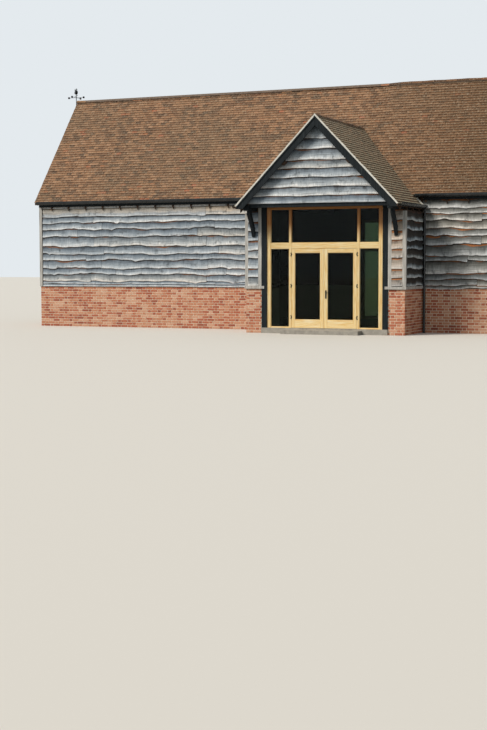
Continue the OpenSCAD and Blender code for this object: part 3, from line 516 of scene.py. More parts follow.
main_cos, main_sin = math.cos(MAIN_PITCH), math.sin(MAIN_PITCH)
porch_cos, porch_sin = math.cos(PORCH_PITCH), math.sin(PORCH_PITCH)
FRONT = plane((0, FRONT_Y, 0), (1, 0, 0), (0, 0, 1))
REAR = plane((0, REAR_Y, 0), (-1, 0, 0), (0, 0, 1))
LEFT_END = plane((-HALF_LENGTH, 0, 0), (0, -1, 0), (0, 0, 1))
RIGHT_END = plane((HALF_LENGTH, 0, 0), (0, 1, 0), (0, 0, 1))
PORCH_FRONT = plane((0, 0, 0), (1, 0, 0), (0, 0, 1))
PORCH_LEFT = plane((-PORCH_HALF, 0, 0), (0, -1, 0), (0, 0, 1))
PORCH_RIGHT = plane((PORCH_HALF, 0, 0), (0, 1, 0), (0, 0, 1))
GABLE_FACE = plane((0, GABLE_Y, 0), (1, 0, 0), (0, 0, 1))
FRONT_SLOPE = plane((0, ROOF_LOW.y, EAVE_TOP_Z), (1, 0, 0), (0, main_cos, main_sin))
REAR_SLOPE = plane((0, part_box("roof_rear")[1].y, EAVE_TOP_Z), (-1, 0, 0), (0, -main_cos, main_sin))
PORCH_RIGHT_SLOPE = plane((PORCH_HIGH.x, 0, PORCH_EAVE_TOP_Z), (0, 1, 0), (-porch_cos, 0, porch_sin))
PORCH_LEFT_SLOPE = plane((-PORCH_HIGH.x, 0, PORCH_EAVE_TOP_Z), (0, -1, 0), (porch_cos, 0, porch_sin))
MAIN_SLOPE_LENGTH = (ROOF_HIGH.y - ROOF_LOW.y) / main_cos
PORCH_SLOPE_LENGTH = PORCH_HIGH.x / porch_cos
print("slopes", round(MAIN_SLOPE_LENGTH, 2), round(PORCH_SLOPE_LENGTH, 2), "m long")


# %% Finished pieces
def new_piece(name, mesh, body, slot, *replaced):
    """Puts a finished mesh in the scene as a piece that moves with a body."""
    made = bpy.data.objects.new(name, mesh)
    bpy.context.scene.collection.objects.link(made)
    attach(made, body)
    if replaced:
        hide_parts(*replaced)
    print(name, len(mesh.polygons), "faces")
    return made


def join(name, meshes):
    """One mesh out of several."""
    whole = bmesh.new()
    materials = []
    for mesh in meshes:
        part = mesh.copy()
        for material in part.materials:
            if material not in materials:
                materials.append(material)
        order = [materials.index(material) for material in part.materials]
        for face in part.polygons:
            face.material_index = order[face.material_index]
        whole.from_mesh(part)
    made = bpy.data.meshes.new(name)
    whole.to_mesh(made)
    whole.free()
    for material in materials:
        made.materials.append(material)
    return made


# %% [markdown]
# ## Trees that repeat
# A roof is one small tile laid thousands of times, a plinth one brick. Modelling each by hand would be
# endless, and a bump pattern would leave the roof flat at its edges. Geometry Nodes lay real copies: a
# tree counts out the places, keeps those over the face, puts a copy on each and turns it a little. Its
# sizes are named inputs, its seed is fixed, and it ends in plain mesh. Every copy gets an own value "tone".

# %% Building and running a tree
def new_tree(name, **sizes):
    """A tree with a geometry input, a named input for each size, a material and one output."""
    tree = bpy.data.node_groups.new(name, "GeometryNodeTree")
    for way in "INPUT", "OUTPUT":
        tree.interface.new_socket("Geometry", in_out=way, socket_type="NodeSocketGeometry")
    for label, value in sizes.items():
        kind = "NodeSocketInt" if isinstance(value, int) else "NodeSocketFloat"
        made = tree.interface.new_socket(label, in_out="INPUT", socket_type=kind)
        made.default_value = value
    tree.interface.new_socket("material", in_out="INPUT", socket_type="NodeSocketMaterial")
    return tree, add(tree, "NodeGroupInput").outputs, add(tree, "NodeGroupOutput").inputs


def grow(tree, start, **values):
    """Runs a tree on a mesh, its inputs set by identifier, and gives back the result as a plain mesh."""
    carrier = bpy.data.objects.new(tree.name, start)
    bpy.context.scene.collection.objects.link(carrier)
    modifier = carrier.modifiers.new(tree.name, "NODES")
    modifier.node_group = tree
    for socket in tree.interface.items_tree:
        if socket.in_out == "INPUT" and socket.name in values:
            modifier[socket.identifier] = values[socket.name]
    graph = bpy.context.evaluated_depsgraph_get()
    made = bpy.data.meshes.new_from_object(carrier.evaluated_get(graph))
    bpy.data.objects.remove(carrier)
    return made


def outline(*corners):
    """A flat face with these corners, for a tree to fill."""
    made = bpy.data.meshes.new("outline")
    made.from_pydata([(x, y, 0) for x, y in corners], [], [tuple(range(len(corners)))])
    return made


# %% The field tree: tiles or bricks in courses
HEADER_CUT = 0.5233
LEAN_LEAST, LEAN_MOST = (-0.012, -0.012, -0.016), (0.02, 0.012, 0.016)


def field_tree(name, tile):
    """Courses of one block, each second course shifted by half a block. Tiles lie on the course below and
    so tip back; bricks lie flat, and every second one is a header."""
    tree, given, result = new_tree(name, columns=10, rows=10, first_column=0, start_height=0.0,
                                   pitch=0.165, course=0.1, block_length=0.16, block_height=0.13,
                                   thickness=0.012, camber=0.0, tip=0.0, sag=0.0, loose=0.002, seed=1)
    index = add(tree, "GeometryNodeInputIndex")
    row = add(tree, "ShaderNodeMath", {0: index, 1: given["columns"]}, operation="DIVIDE")
    row = add(tree, "ShaderNodeMath", {0: row}, operation="FLOOR")
    column = add(tree, "ShaderNodeMath", {0: index, 1: given["columns"]}, operation="MODULO")
    column = add(tree, "ShaderNodeMath", {0: column, 1: given["first_column"]}, operation="ADD")
    odd = add(tree, "ShaderNodeMath", {0: row, 1: 2.0}, operation="MODULO")
    shift = add(tree, "ShaderNodeMath", {0: odd, 1: -0.5 if tile else 1.0, 2: 0.5},
                operation="MULTIPLY_ADD")
    across = add(tree, "ShaderNodeMath", {0: column, 1: shift}, operation="ADD")
    across = add(tree, "ShaderNodeMath", {0: across, 1: given["pitch"]}, operation="MULTIPLY")
    upward = add(tree, "ShaderNodeMath", {0: row, 1: given["course"], 2: given["start_height"]},
                 operation="MULTIPLY_ADD")
    place = add(tree, "ShaderNodeCombineXYZ", {0: across, 1: upward})
    count = add(tree, "ShaderNodeMath", {0: given["columns"], 1: given["rows"]}, operation="MULTIPLY")
    points = add(tree, "GeometryNodePoints", {"Count": count, "Position": place})
    reach = add(tree, "GeometryNodeProximity", {0: given["Geometry"]}, target_element="FACES")
    distance = next(o for o in reach.outputs if o.name == "Distance")
    outside = add(tree, "FunctionNodeCompare", {0: distance, 1: given["pitch"]}, operation="GREATER_THAN",
                  data_type="FLOAT")
    kept = add(tree, "GeometryNodeDeleteGeometry", {0: points, 1: outside}, domain="POINT")
    # An old roof sags between its rafters, and no block lies quite where the next one does
    own = add(tree, "GeometryNodeInputPosition")
    swell = add(tree, "ShaderNodeTexNoise", {"Vector": own, "Scale": 0.55, "Detail": 2})
    swell = add(tree, "ShaderNodeMath", {0: swell, 1: given["sag"]}, operation="MULTIPLY")
    lift = add(tree, "ShaderNodeCombineXYZ", {2: swell})
    jolt = add(tree, "FunctionNodeRandomValue", {0: (-1, -1, 0), 1: (1, 1, 1), "Seed": given["seed"]},
               data_type="FLOAT_VECTOR")
    jolt = add(tree, "ShaderNodeVectorMath", {0: jolt, "Scale": given["loose"]}, operation="SCALE")
    offset = add(tree, "ShaderNodeVectorMath", {0: lift, 1: jolt}, operation="ADD")
    settled = add(tree, "GeometryNodeSetPosition", {0: kept, 3: offset})
    # The block: three corners along it, so that a tile can be cambered
    size = add(tree, "ShaderNodeCombineXYZ", {0: given["block_length"], 1: given["block_height"],
                                              2: given["thickness"]})
    block = add(tree, "GeometryNodeMeshCube", {"Size": size, "Vertices X": 3 if tile else 2})
    half = add(tree, "ShaderNodeMath", {0: given["block_height"], 1: 0.5}, operation="MULTIPLY")
    flat = add(tree, "ShaderNodeSeparateXYZ", {0: add(tree, "GeometryNodeInputPosition")})
    middle = add(tree, "ShaderNodeMath", {0: flat.outputs[0]}, operation="ABSOLUTE")
    middle = add(tree, "ShaderNodeMath", {0: middle, 1: 0.01}, operation="LESS_THAN")
    arch = add(tree, "ShaderNodeMath", {0: middle, 1: given["camber"]}, operation="MULTIPLY")
    moved = add(tree, "ShaderNodeCombineXYZ", {1: half, 2: arch})
    shaped = add(tree, "GeometryNodeSetPosition", {0: block, 3: moved})
    if tile:
        # How far up the visible part of its tile a point lies, for lichen on the tail and painted shade
        # under the next course
        climb = add(tree, "ShaderNodeMath", {0: flat.outputs[1], 1: given["course"]}, operation="DIVIDE")
        shaped = add(tree, "GeometryNodeStoreNamedAttribute", {0: shaped, "Name": "rise", "Value": climb},
                     data_type="FLOAT", domain="POINT")
    # Each copy leans a little, and on a wall each second brick is a header
    other_seed = add(tree, "ShaderNodeMath", {0: given["seed"], 1: 7.0}, operation="ADD")
    lean = add(tree, "FunctionNodeRandomValue", {0: LEAN_LEAST, 1: LEAN_MOST, "Seed": other_seed},
               data_type="FLOAT_VECTOR")
    tipped = add(tree, "ShaderNodeMath", {0: given["tip"], 1: -1.0}, operation="MULTIPLY")
    tipped = add(tree, "ShaderNodeCombineXYZ", {0: tipped})
    turn = add(tree, "ShaderNodeVectorMath", {0: lean, 1: tipped}, operation="ADD")
    copies = {0: settled, "Instance": shaped, "Rotation": turn}
    if not tile:
        header = add(tree, "ShaderNodeMath", {0: column, 1: 2.0}, operation="FLOORED_MODULO")
        share = add(tree, "ShaderNodeMath", {0: header, 1: -HEADER_CUT, 2: 1.0},
                    operation="MULTIPLY_ADD")
        marked = add(tree, "GeometryNodeStoreNamedAttribute", {0: points, "Name": "share",
                     "Value": share}, data_type="FLOAT", domain="POINT")
        tree.links.new(marked.outputs[0], kept.inputs[0])
        kept_share = add(tree, "GeometryNodeInputNamedAttribute", {0: "share"}, data_type="FLOAT")
        copies["Scale"] = add(tree, "ShaderNodeCombineXYZ", {0: kept_share, 1: 1.0, 2: 1.0})
    laid = add(tree, "GeometryNodeInstanceOnPoints", copies)
    kiln = add(tree, "FunctionNodeRandomValue", {"Min": 0.0, "Max": 1.0, "Seed": given["seed"]},
               data_type="FLOAT")
    toned = add(tree, "GeometryNodeStoreNamedAttribute", {0: laid, "Name": "tone", "Value": kiln},
                data_type="FLOAT", domain="INSTANCE")
    real = add(tree, "GeometryNodeRealizeInstances", {0: toned})
    if not tile:
        real = add(tree, "GeometryNodeRemoveAttribute", {0: real, "Name": "share"})
    done = add(tree, "GeometryNodeSetMaterial", {0: real, "Material": given["material"]})
    tree.links.new(done.outputs[0], result[0])
    return tree


TILE_TREE = field_tree("tile_field", True)
BRICK_TREE = field_tree("brick_field", False)
print("field trees have", len(TILE_TREE.nodes), "and", len(BRICK_TREE.nodes), "nodes")


# %% Cutting a field to its edges
def trim(mesh, corners, low, high, top=1e9, least=0.02):
    """Cuts every copy back to a line on its left, its right and its top by moving its corners along the
    course, as a tiler cuts tiles to a valley. What becomes narrower than least is taken away."""
    place = np.empty(len(mesh.vertices) * 3)
    mesh.vertices.foreach_get("co", place)
    copies = place.reshape(-1, corners, 3)
    across, upward = copies[..., 0], np.minimum(copies[..., 1], top)
    middle = across.mean(axis=1, keepdims=True) + 0 * across
    cut = np.minimum(np.maximum(across, low(middle, upward)), high(middle, upward))
    copies[..., 0], copies[..., 1] = cut, upward
    mesh.vertices.foreach_set("co", copies.ravel())
    narrow = (np.ptp(cut, axis=1) < least) | (np.ptp(upward, axis=1) < least)
    whole = bmesh.new()
    whole.from_mesh(mesh)
    whole.verts.ensure_lookup_table()
    lost = [whole.verts[i * corners + k] for i in np.flatnonzero(narrow) for k in range(corners)]
    bmesh.ops.delete(whole, geom=lost, context="VERTS")
    whole.to_mesh(mesh)
    whole.free()


# %% [markdown]
# ## Roofs
# Handmade plain tiles are laid at a 100 mm gauge and 165 mm wide, so a slope of 4.3 m has 43 courses and
# the whole roof more than eleven thousand tiles. The tail of each stands on the course below, which gives
# the fine stepped shadow lines. At the valleys the courses of both roofs are cut to the same line.

# %% Tiling a slope
TILE_CORNERS = 12
TILE_GAUGE = 0.1
TAIL_OVERHANG = 0.03
TOP_GAP = 0.005
MAIN_COLUMNS = 61
MAIN_TILE = ROOF_HIGH.x / MAIN_COLUMNS
TILE = {"pitch": MAIN_TILE, "course": TILE_GAUGE, "start_height": -TAIL_OVERHANG,
        "block_length": MAIN_TILE - 0.004, "block_height": 0.13, "thickness": 0.013, "camber": 0.003,
        "tip": 0.125, "sag": 0.02, "loose": 0.0035}
VALLEY_FOOT = (PORCH_HIGH.z - EAVE_TOP_Z) / math.tan(PORCH_PITCH)
VALLEY_LENGTH = (PORCH_HIGH.z - EAVE_TOP_Z) / main_sin
PORCH_FREE_LENGTH = (EAVE_TOP_Z - PORCH_EAVE_TOP_Z) / porch_sin
VALLEY_RUN = (PORCH_HIGH.z - EAVE_TOP_Z) / math.tan(MAIN_PITCH)
PORCH_REAR_Y = FRONT_Y - 0.05


def settled(x):
    """How far the old ridge stands above or below a straight one: it has sunk left of the porch."""
    return np.interp(x, [-10.0, -9.0, -8.2, -3.0, -2.2, 0.3, 0.8, 10.0],
                     [0.006, -0.03, -0.036, -0.036, -0.008, 0.004, 0.034, 0.036])


def tiles(name, where, corners, low, high, slope_length, ridge_lift=None, **field):
    """Tiles one slope inside these corners. low and high give its ends at (x, height); field gives the
    tree its columns, its seed and its material; ridge_lift raises the tiles under a hump of the ridge."""
    rows = math.ceil(slope_length / TILE_GAUGE) + 1
    laid = grow(TILE_TREE, outline(*corners), rows=rows, **TILE, **field)
    trim(laid, TILE_CORNERS, low, high, slope_length - TOP_GAP)
    if ridge_lift:
        place = np.empty(len(laid.vertices) * 3)
        laid.vertices.foreach_get("co", place)
        x, height, out = place.reshape(-1, 3).T
        raised = np.maximum(ridge_lift(x), 0) * np.clip(height / MAIN_SLOPE_LENGTH, 0, 1) ** 2
        height += raised * main_sin
        out += raised * main_cos
        laid.vertices.foreach_set("co", place)
    laid.transform(where)
    return new_piece(name, laid, "barn", "clay_tile")


def valley(height):
    """Distance of a valley from the porch's centre line, up the main slope."""
    return VALLEY_FOOT * (1 - height / VALLEY_LENGTH)


def porch_back(height):
    """Y of the rear edge of a porch slope: at the wall below the main eaves, then along the valley."""
    climb = (height - PORCH_FREE_LENGTH) / (PORCH_SLOPE_LENGTH - PORCH_FREE_LENGTH)
    return np.maximum(PORCH_REAR_Y, ROOF_LOW.y + climb * VALLEY_RUN)


print("a main slope has", math.ceil(MAIN_SLOPE_LENGTH / TILE_GAUGE) + 1, "courses")

# %% The four slopes
half = ROOF_HIGH.x
main_field = {"columns": 2 * MAIN_COLUMNS + 2, "first_column": -MAIN_COLUMNS - 1, "material": MAIN_TILES}
main_top = [(half, MAIN_SLOPE_LENGTH), (-half, MAIN_SLOPE_LENGTH)]
tiles("tiles_front", FRONT_SLOPE,
      [(-half, 0), (-VALLEY_FOOT, 0), (0, VALLEY_LENGTH), (VALLEY_FOOT, 0), (half, 0), *main_top],
      lambda x, h: np.where(x >= 0, np.maximum(valley(h), -half), -half),
      lambda x, h: np.where(x >= 0, half, np.minimum(-valley(h), half)),
      MAIN_SLOPE_LENGTH, settled, seed=3, **main_field)
tiles("tiles_rear", REAR_SLOPE, [(-half, 0), (half, 0), *main_top],
      lambda x, h: -half + 0 * h, lambda x, h: half + 0 * h,
      MAIN_SLOPE_LENGTH, lambda x: settled(-x), seed=5, **main_field)
porch_front = [(PORCH_LOW.y, PORCH_SLOPE_LENGTH), (PORCH_LOW.y, 0)]
porch_rear = [(PORCH_REAR_Y, 0), (ROOF_LOW.y, PORCH_FREE_LENGTH), (PORCH_HIGH.y, PORCH_SLOPE_LENGTH)]
tiles("tiles_porch_right", PORCH_RIGHT_SLOPE, porch_front[1:] + porch_rear + porch_front[:1],
      lambda x, h: PORCH_LOW.y + 0 * h, lambda x, h: porch_back(h),
      PORCH_SLOPE_LENGTH, columns=30, first_column=-5, seed=11, material=PORCH_TILES)
tiles("tiles_porch_left", PORCH_LEFT_SLOPE, [(-y, h) for y, h in (porch_front + porch_rear)[::-1]],
      lambda x, h: -porch_back(h), lambda x, h: -PORCH_LOW.y + 0 * h,
      PORCH_SLOPE_LENGTH, columns=30, first_column=-24, seed=13, material=PORCH_TILES)

# %% [markdown]
# ## Ridges
# A ridge is a row of half-round tiles bedded in mortar. One tile is a short bent sheet with real thickness,
# and a second small tree repeats any piece in a row, as it also does for gutter brackets and pipe clips.

# %% The row tree
def row_tree():
    """Copies of a piece in a row along X, each turned a little by chance."""
    tree, given, result = new_tree("row_of_copies", count=3, pitch=0.45, loose=0.0, seed=1)
    step = add(tree, "ShaderNodeCombineXYZ", {0: given["pitch"]})
    line = add(tree, "GeometryNodeMeshLine", {"Count": given["count"], "Offset": step})
    lean = add(tree, "FunctionNodeRandomValue", {0: (-1, -1, -1), 1: (1, 1, 1), "Seed": given["seed"]},
               data_type="FLOAT_VECTOR")
    turn = add(tree, "ShaderNodeVectorMath", {0: lean, "Scale": given["loose"]}, operation="SCALE")
    laid = add(tree, "GeometryNodeInstanceOnPoints", {0: line, "Instance": given["Geometry"],
               "Rotation": turn})
    kiln = add(tree, "FunctionNodeRandomValue", {"Min": 0.0, "Max": 1.0, "Seed": given["seed"]},
               data_type="FLOAT")
    toned = add(tree, "GeometryNodeStoreNamedAttribute", {0: laid, "Name": "tone", "Value": kiln},
                data_type="FLOAT", domain="INSTANCE")
    real = add(tree, "GeometryNodeRealizeInstances", {0: toned})
    done = add(tree, "GeometryNodeSetMaterial", {0: real, "Material": given["material"]})
    tree.links.new(done.outputs[0], result[0])
    return tree


ROW_TREE = row_tree()
print("the row tree has", len(ROW_TREE.nodes), "nodes")


# %% Bent strips
def bent_strip(outer, inner, start, end):
    """A closed strip: an outer and an inner line of (y, z) points, drawn out along X from start to end."""
    count = len(outer)
    ring = list(outer) + list(inner)[::-1]
    points = [(x, y, z) for x in (start, end) for y, z in ring]
    around = len(ring)
    faces = [(i, (i + 1) % around, (i + 1) % around + around, i + around) for i in range(around)]
    for i in range(count - 1):
        quad = (i, around - 1 - i, around - 2 - i, i + 1)
        faces += [quad, tuple(around + k for k in quad[::-1])]
    made = bpy.data.meshes.new("strip")
    made.from_pydata(points, [], faces)
    return outward(made)


def outward(mesh):
    """Turns all faces of closed shells outwards."""
    whole = bmesh.new()
    whole.from_mesh(mesh)
    bmesh.ops.recalc_face_normals(whole, faces=whole.faces)
    whole.to_mesh(mesh)
    whole.free()
    return mesh


def arc(radius, start, end, steps):
    """Points round a circle in degrees, as (y, z)."""
    angles = [math.radians(start + (end - start) * i / steps) for i in range(steps + 1)]
    return [(radius * math.cos(a), radius * math.sin(a)) for a in angles]


# %% Both ridges
RIDGE_RADIUS = 0.075
RIDGE_LEG = 0.05
RIDGE_TILE_THICKNESS = 0.016
RIDGE_TILE_LENGTH = 0.33
RIDGE_JOINT = 0.01
RIDGE_LEAN = 0.01
BED_DROP = 0.008
BED_THICKNESS = 0.037
BED_APRON = 0.012
BED_INSET = 0.004
PORCH_RIDGE_RISE = 0.0225
INTO_MAIN_SLOPE = 0.1


def ridge_line(radius, leg, pitch):
    """Across a ridge: a rounded top and a leg down each slope."""
    tilt = math.degrees(math.pi / 2 - pitch)
    top = arc(radius, tilt, 180 - tilt, 8)
    foot = (top[0][0] + leg * math.cos(pitch), top[0][1] - leg * math.sin(pitch))
    return [foot, *top, (-foot[0], foot[1])]


def ridge(name, where, length, seed, pitch):
    """Ridge tiles from X = 0 on, with a mortar bed that shows in the joints and along both edges."""
    count = round(length / (RIDGE_TILE_LENGTH + RIDGE_JOINT))
    step = length / count
    one = bent_strip(ridge_line(RIDGE_RADIUS, RIDGE_LEG, pitch),
                     ridge_line(RIDGE_RADIUS - RIDGE_TILE_THICKNESS, RIDGE_LEG, pitch),
                     0, step - RIDGE_JOINT)
    row = grow(ROW_TREE, one, count=count, pitch=step, loose=RIDGE_LEAN, seed=seed, material=RIDGE_TILES)
    bed_top = RIDGE_RADIUS - BED_DROP
    bed = bent_strip(ridge_line(bed_top, RIDGE_LEG + BED_APRON, pitch),
                     ridge_line(bed_top - BED_THICKNESS, RIDGE_LEG + BED_APRON, pitch),
                     BED_INSET, length - BED_INSET)
    bed.materials.append(OLD_MORTAR)
    whole = join(name, [row, bed])
    whole.transform(where)
    return whole


RIDGE_CENTRE_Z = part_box("ridge_tiles")[1].z - RIDGE_RADIUS
PORCH_RIDGE_Z = PORCH_HIGH.z + PORCH_RIDGE_RISE - RIDGE_RADIUS
PORCH_RIDGE_END = (ROOF_LOW.y + (PORCH_RIDGE_Z + RIDGE_RADIUS - EAVE_TOP_Z) / math.tan(MAIN_PITCH)
                   + INTO_MAIN_SLOPE)
along_x = Matrix.Translation((-ROOF_HIGH.x, ROOF_HIGH.y, RIDGE_CENTRE_Z))
along_y = Matrix.Translation((0, PORCH_LOW.y, PORCH_RIDGE_Z)) @ Matrix.Rotation(math.pi / 2, 4, "Z")
main_ridge = ridge("main", along_x, 2 * ROOF_HIGH.x, 21, MAIN_PITCH)
# Besides what has sunk, the tiles wander up and down by a few millimetres
for corner in main_ridge.vertices:
    corner.co.z += float(settled(corner.co.x)) + 0.004 * math.sin(7.3 * corner.co.x)
porch_ridge = ridge("porch", along_y, PORCH_RIDGE_END - PORCH_LOW.y, 22, PORCH_PITCH)
ridges = join("ridges", [main_ridge, porch_ridge])
new_piece("ridges", ridges, "barn", "clay_tile", "ridge_tiles")

# %% [markdown]
# ## Brick plinth
# The plinth is laid in Flemish bond: a stretcher and a header by turns, each header over the middle of a
# stretcher. The CAD plinth stays as the mortar, and the bricks stand 5 mm proud of it, so that every joint
# is a real recess. A bump map could draw the joints, but the corners of the plinth would stay straight.

# %% Brick faces
BRICK_CORNERS = 8
BRICK_PITCH = 0.16875
BRICK_COURSES = 16
BRICK_PROUD = 0.005
BRICK_DEPTH = 0.024
BRICK_LENGTH = 0.209
BED_JOINT = 0.014
FIRST_BED = 0.006


def bricks(where, left, right, seed):
    """The bricks of one face, from left to right across it and from the ground to the plinth's top."""
    first = math.floor(left / BRICK_PITCH) - 1
    count = math.ceil(right / BRICK_PITCH) - first + 1
    course = PLINTH_TOP / BRICK_COURSES
    face = outline((left, 0), (right, 0), (right, PLINTH_TOP), (left, PLINTH_TOP))
    laid = grow(BRICK_TREE, face, columns=count, rows=BRICK_COURSES, first_column=first,
                start_height=FIRST_BED, pitch=BRICK_PITCH, course=course, block_length=BRICK_LENGTH,
                block_height=course - BED_JOINT, thickness=BRICK_DEPTH, loose=0.0012, seed=seed,
                material=BRICK)
    trim(laid, BRICK_CORNERS, lambda x, h: left + 0 * h, lambda x, h: right + 0 * h, least=0.03)
    laid.transform(where @ Matrix.Translation((0, 0, BRICK_PROUD - BRICK_DEPTH / 2)))
    return laid


main_bricks = [
    bricks(FRONT, -HALF_LENGTH - BRICK_PROUD, -PORCH_HALF, 31),
    bricks(FRONT, PORCH_HALF, HALF_LENGTH + BRICK_PROUD, 32),
    bricks(LEFT_END, -REAR_Y - BRICK_PROUD, -FRONT_Y, 33),
    bricks(RIGHT_END, FRONT_Y, REAR_Y + BRICK_PROUD, 34)]
rear_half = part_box("rear_frame")[1].x
rear_bricks = [bricks(REAR, -HALF_LENGTH, -rear_half, 35), bricks(REAR, rear_half, HALF_LENGTH, 36)]
pier_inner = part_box("porch_wall_right")[0].x
porch_bricks = [
    bricks(PORCH_FRONT, -PORCH_HALF - BRICK_PROUD, -pier_inner, 37),
    bricks(PORCH_FRONT, pier_inner, PORCH_HALF + BRICK_PROUD, 38),
    bricks(PORCH_LEFT, -FRONT_Y, 0, 39), bricks(PORCH_RIGHT, 0, FRONT_Y, 40)]
new_piece("bricks_front_and_ends", join("bricks", main_bricks), "barn", "brickwork")
new_piece("bricks_rear", join("bricks", rear_bricks), "barn", "brickwork")
new_piece("bricks_porch", join("bricks", porch_bricks), "barn", "brickwork")

# %% [markdown]
# ## Waney boards
# A waney board is sawn from the whole tree and keeps the natural edge of the trunk, so no two lower edges
# are alike. Each board here is a closed shell with seven corners round its section: thick at the lip, thin
# where the next board laps it. Its lip follows a sum of waves with a few lumps where branches were. A grid
# written with numpy suits this better than a tree, because each board is another shape.

# %% The natural edge
LAP = 0.09
STATION = 0.055
BUTT_GAP = 0.005
LEAST_HEIGHT = 0.03
LEAST_SHOWN = 0.04
LUMP_GAP = 1.5
EDGE_WAVES = [(2.9, 0.014), (1.3, 0.012), (0.61, 0.006), (0.29, 0.0025), (0.13, 0.0012)]
FACE_WAVES = [(3.1, 0.0035), (0.9, 0.002)]
# Share of the board's height, and how far out of the wall, for each corner of its section
SECTION = np.array([(1.0, 0.001), (1.0, 0.012), (0.6, 0.021), (0.22, 0.034), (0.04, 0.041), (0.0, 0.036),
                    (0.012, 0.010)])


def wave(draw, at, waves):
    """A natural edge: waves of these lengths and heights in metres, each with a random start."""
    return sum(height * np.sin(2 * np.pi * (at / length + draw.random())) for length, height in waves)


def lumps(draw, at, length):
    """Pointed bulges and nicks where a branch left the trunk, LUMP_GAP apart on average."""
    total = 0 * at
    for _ in range(draw.poisson(length / LUMP_GAP)):
        middle = draw.uniform(0, length)
        width = draw.uniform(0.07, 0.22)
        depth = draw.uniform(-0.04, 0.026)
        total += depth * np.clip(1 - np.abs(at - middle) / width, 0, 1) ** 1.4
    return total


# %% One board and one wall
def board(draw, near, far, lip, top, above, rough, thin):
    """The points of one board, with its grain, rise, tone and own lip. near(v) and far(v) are its ends,
    top is as high as it may reach, and above is the lip of the row over it, as two lists of u and v."""
    length = far(lip) - near(lip)
    along = np.linspace(0, 1, max(3, int(length / STATION)))
    edge = lip + rough * (wave(draw, along * length, EDGE_WAVES) + lumps(draw, along * length, length))
    edge += draw.uniform(-0.012, 0.012) * (along - 0.5) + draw.uniform(-0.006, 0.006)
    height = np.maximum(top - edge, LEAST_HEIGHT)
    v = edge[:, None] + height[:, None] * SECTION[None, :, 0]
    low, high = np.vectorize(near)(v), np.vectorize(far)(v)
    u = low + along[:, None] * (high - low)
    w = SECTION[None, :, 1] * (1 + 12 * wave(draw, along * length, FACE_WAVES))[:, None]
    w = w * np.vectorize(thin)(u, v)
    shown = np.maximum(np.interp(u[:, 0], *above) - edge, LEAST_SHOWN)
    rise = (v - edge[:, None]) / shown[:, None]
    shift = draw.uniform(0, 40, 2)
    grain = np.stack([u + shift[0], v - edge[:, None] * 0.7 + shift[1]], axis=-1)
    return np.stack([u, v, w], axis=-1), grain, rise, np.full(v.size, draw.random()), (u[:, 0], edge)


def tube(start, stations, corners):
    """Faces of a closed shell whose sections, of so many corners, follow each other from point start on."""
    faces = []
    for i in range(stations - 1):
        for k in range(corners):
            a, b = start + i * corners + k, start + i * corners + (k + 1) % corners
            faces.append((a, b, b + corners, a + corners))
    last = start + (stations - 1) * corners
    return faces + [tuple(range(start, start + corners))[::-1], tuple(range(last, last + corners))]


def wooden(name, points, faces, grain, material, **values):
    """A mesh of wood with its grain map in metres, its finish, and values such as "tone" at each point."""
    made = bpy.data.meshes.new(name)
    made.from_pydata(points.tolist(), [], faces)
    outward(made)
    layer = made.uv_layers.new(name="grain")
    at_loop = np.empty(len(made.loops), dtype=np.int32)
    made.loops.foreach_get("vertex_index", at_loop)
    layer.data.foreach_set("uv", grain[at_loop].ravel())
    for label, numbers in values.items():
        made.attributes.new(label, "FLOAT", "POINT").data.foreach_set("value", numbers)
    made.materials.append(material)
    return made


def boards(rows, ends, draw, material, joints=lambda row, left, right: [], thin=lambda u, v: 1.0,
           rough=1.0):
    """All boards of one wall, the uppermost first. rows are the heights of the lips, and last the top of
    the uppermost board, which no board passes; ends(height) gives both ends of the wall there; joints gives
    the butt joints of a row; thin can flatten boards; rough is how wild their lips are."""
    points, grain, rise, tone, faces = [], [], [], [], []
    start = 0
    above = ([0.0], [rows[-1]])
    for row in reversed(range(len(rows) - 1)):
        amount = rough(row) if callable(rough) else rough
        stops = [None, *joints(row, *ends(rows[row])), None]
        lips = []
        for first, last in zip(stops[:-1], stops[1:]):
            def near(v):
                return ends(v)[0] if first is None else first + BUTT_GAP

            def far(v):
                return ends(v)[1] if last is None else last - BUTT_GAP

            top = min(rows[row + 1] + LAP, rows[-1])
            made = board(draw, near, far, rows[row], top, above, amount, thin)
            points.append(made[0].reshape(-1, 3))
            grain.append(made[1].reshape(-1, 2))
            rise.append(made[2].ravel())
            tone.append(made[3])
            lips.append(made[4])
            faces += tube(start, len(made[0]), len(SECTION))
            start += len(points[-1])
        above = [np.concatenate(values) for values in zip(*lips)]
    return wooden("boards", np.concatenate(points), faces, np.concatenate(grain), material,
                  rise=np.concatenate(rise), tone=np.concatenate(tone))


# %% Boards of the main walls
CORNER_BOARD = 0.095
WALL_BOARD_TOP = WALL_TOP + 0.04
LOWEST_LIP = 1.225
ROWS_LEFT = [LOWEST_LIP, 1.30, 1.38, 1.60, 1.78, 2.03, 2.20, 2.44, 2.73, 2.96, 3.16, 3.345, 3.595]
ROWS_RIGHT = [LOWEST_LIP, 1.31, 1.47, 1.64, 1.97, 2.12, 2.43, 2.67, 2.86, 3.08, 3.27, 3.42, 3.655,
              WALL_BOARD_TOP]
BEHIND_PIPE = 0.12
LONG_WALL = 6


def staggered(draw, share):
    """Butt joints: one or two in a row, never over the one below."""
    def joints(row, left, right):
        whole = right - left
        count = 1 if whole < LONG_WALL else 2
        return sorted(left + whole * (i + 0.35 + 0.3 * ((row * 0.618 + share) % 1)
                                      + draw.uniform(-0.04, 0.04)) / count for i in range(count))
    return joints


def behind_pipe(u, v):
    """Boards lie flatter behind a downpipe, close to the porch."""
    return 0.6 if abs(u) < PORCH_HALF + BEHIND_PIPE else 1.0


outer = HALF_LENGTH - CORNER_BOARD
draw = np.random.default_rng(101)
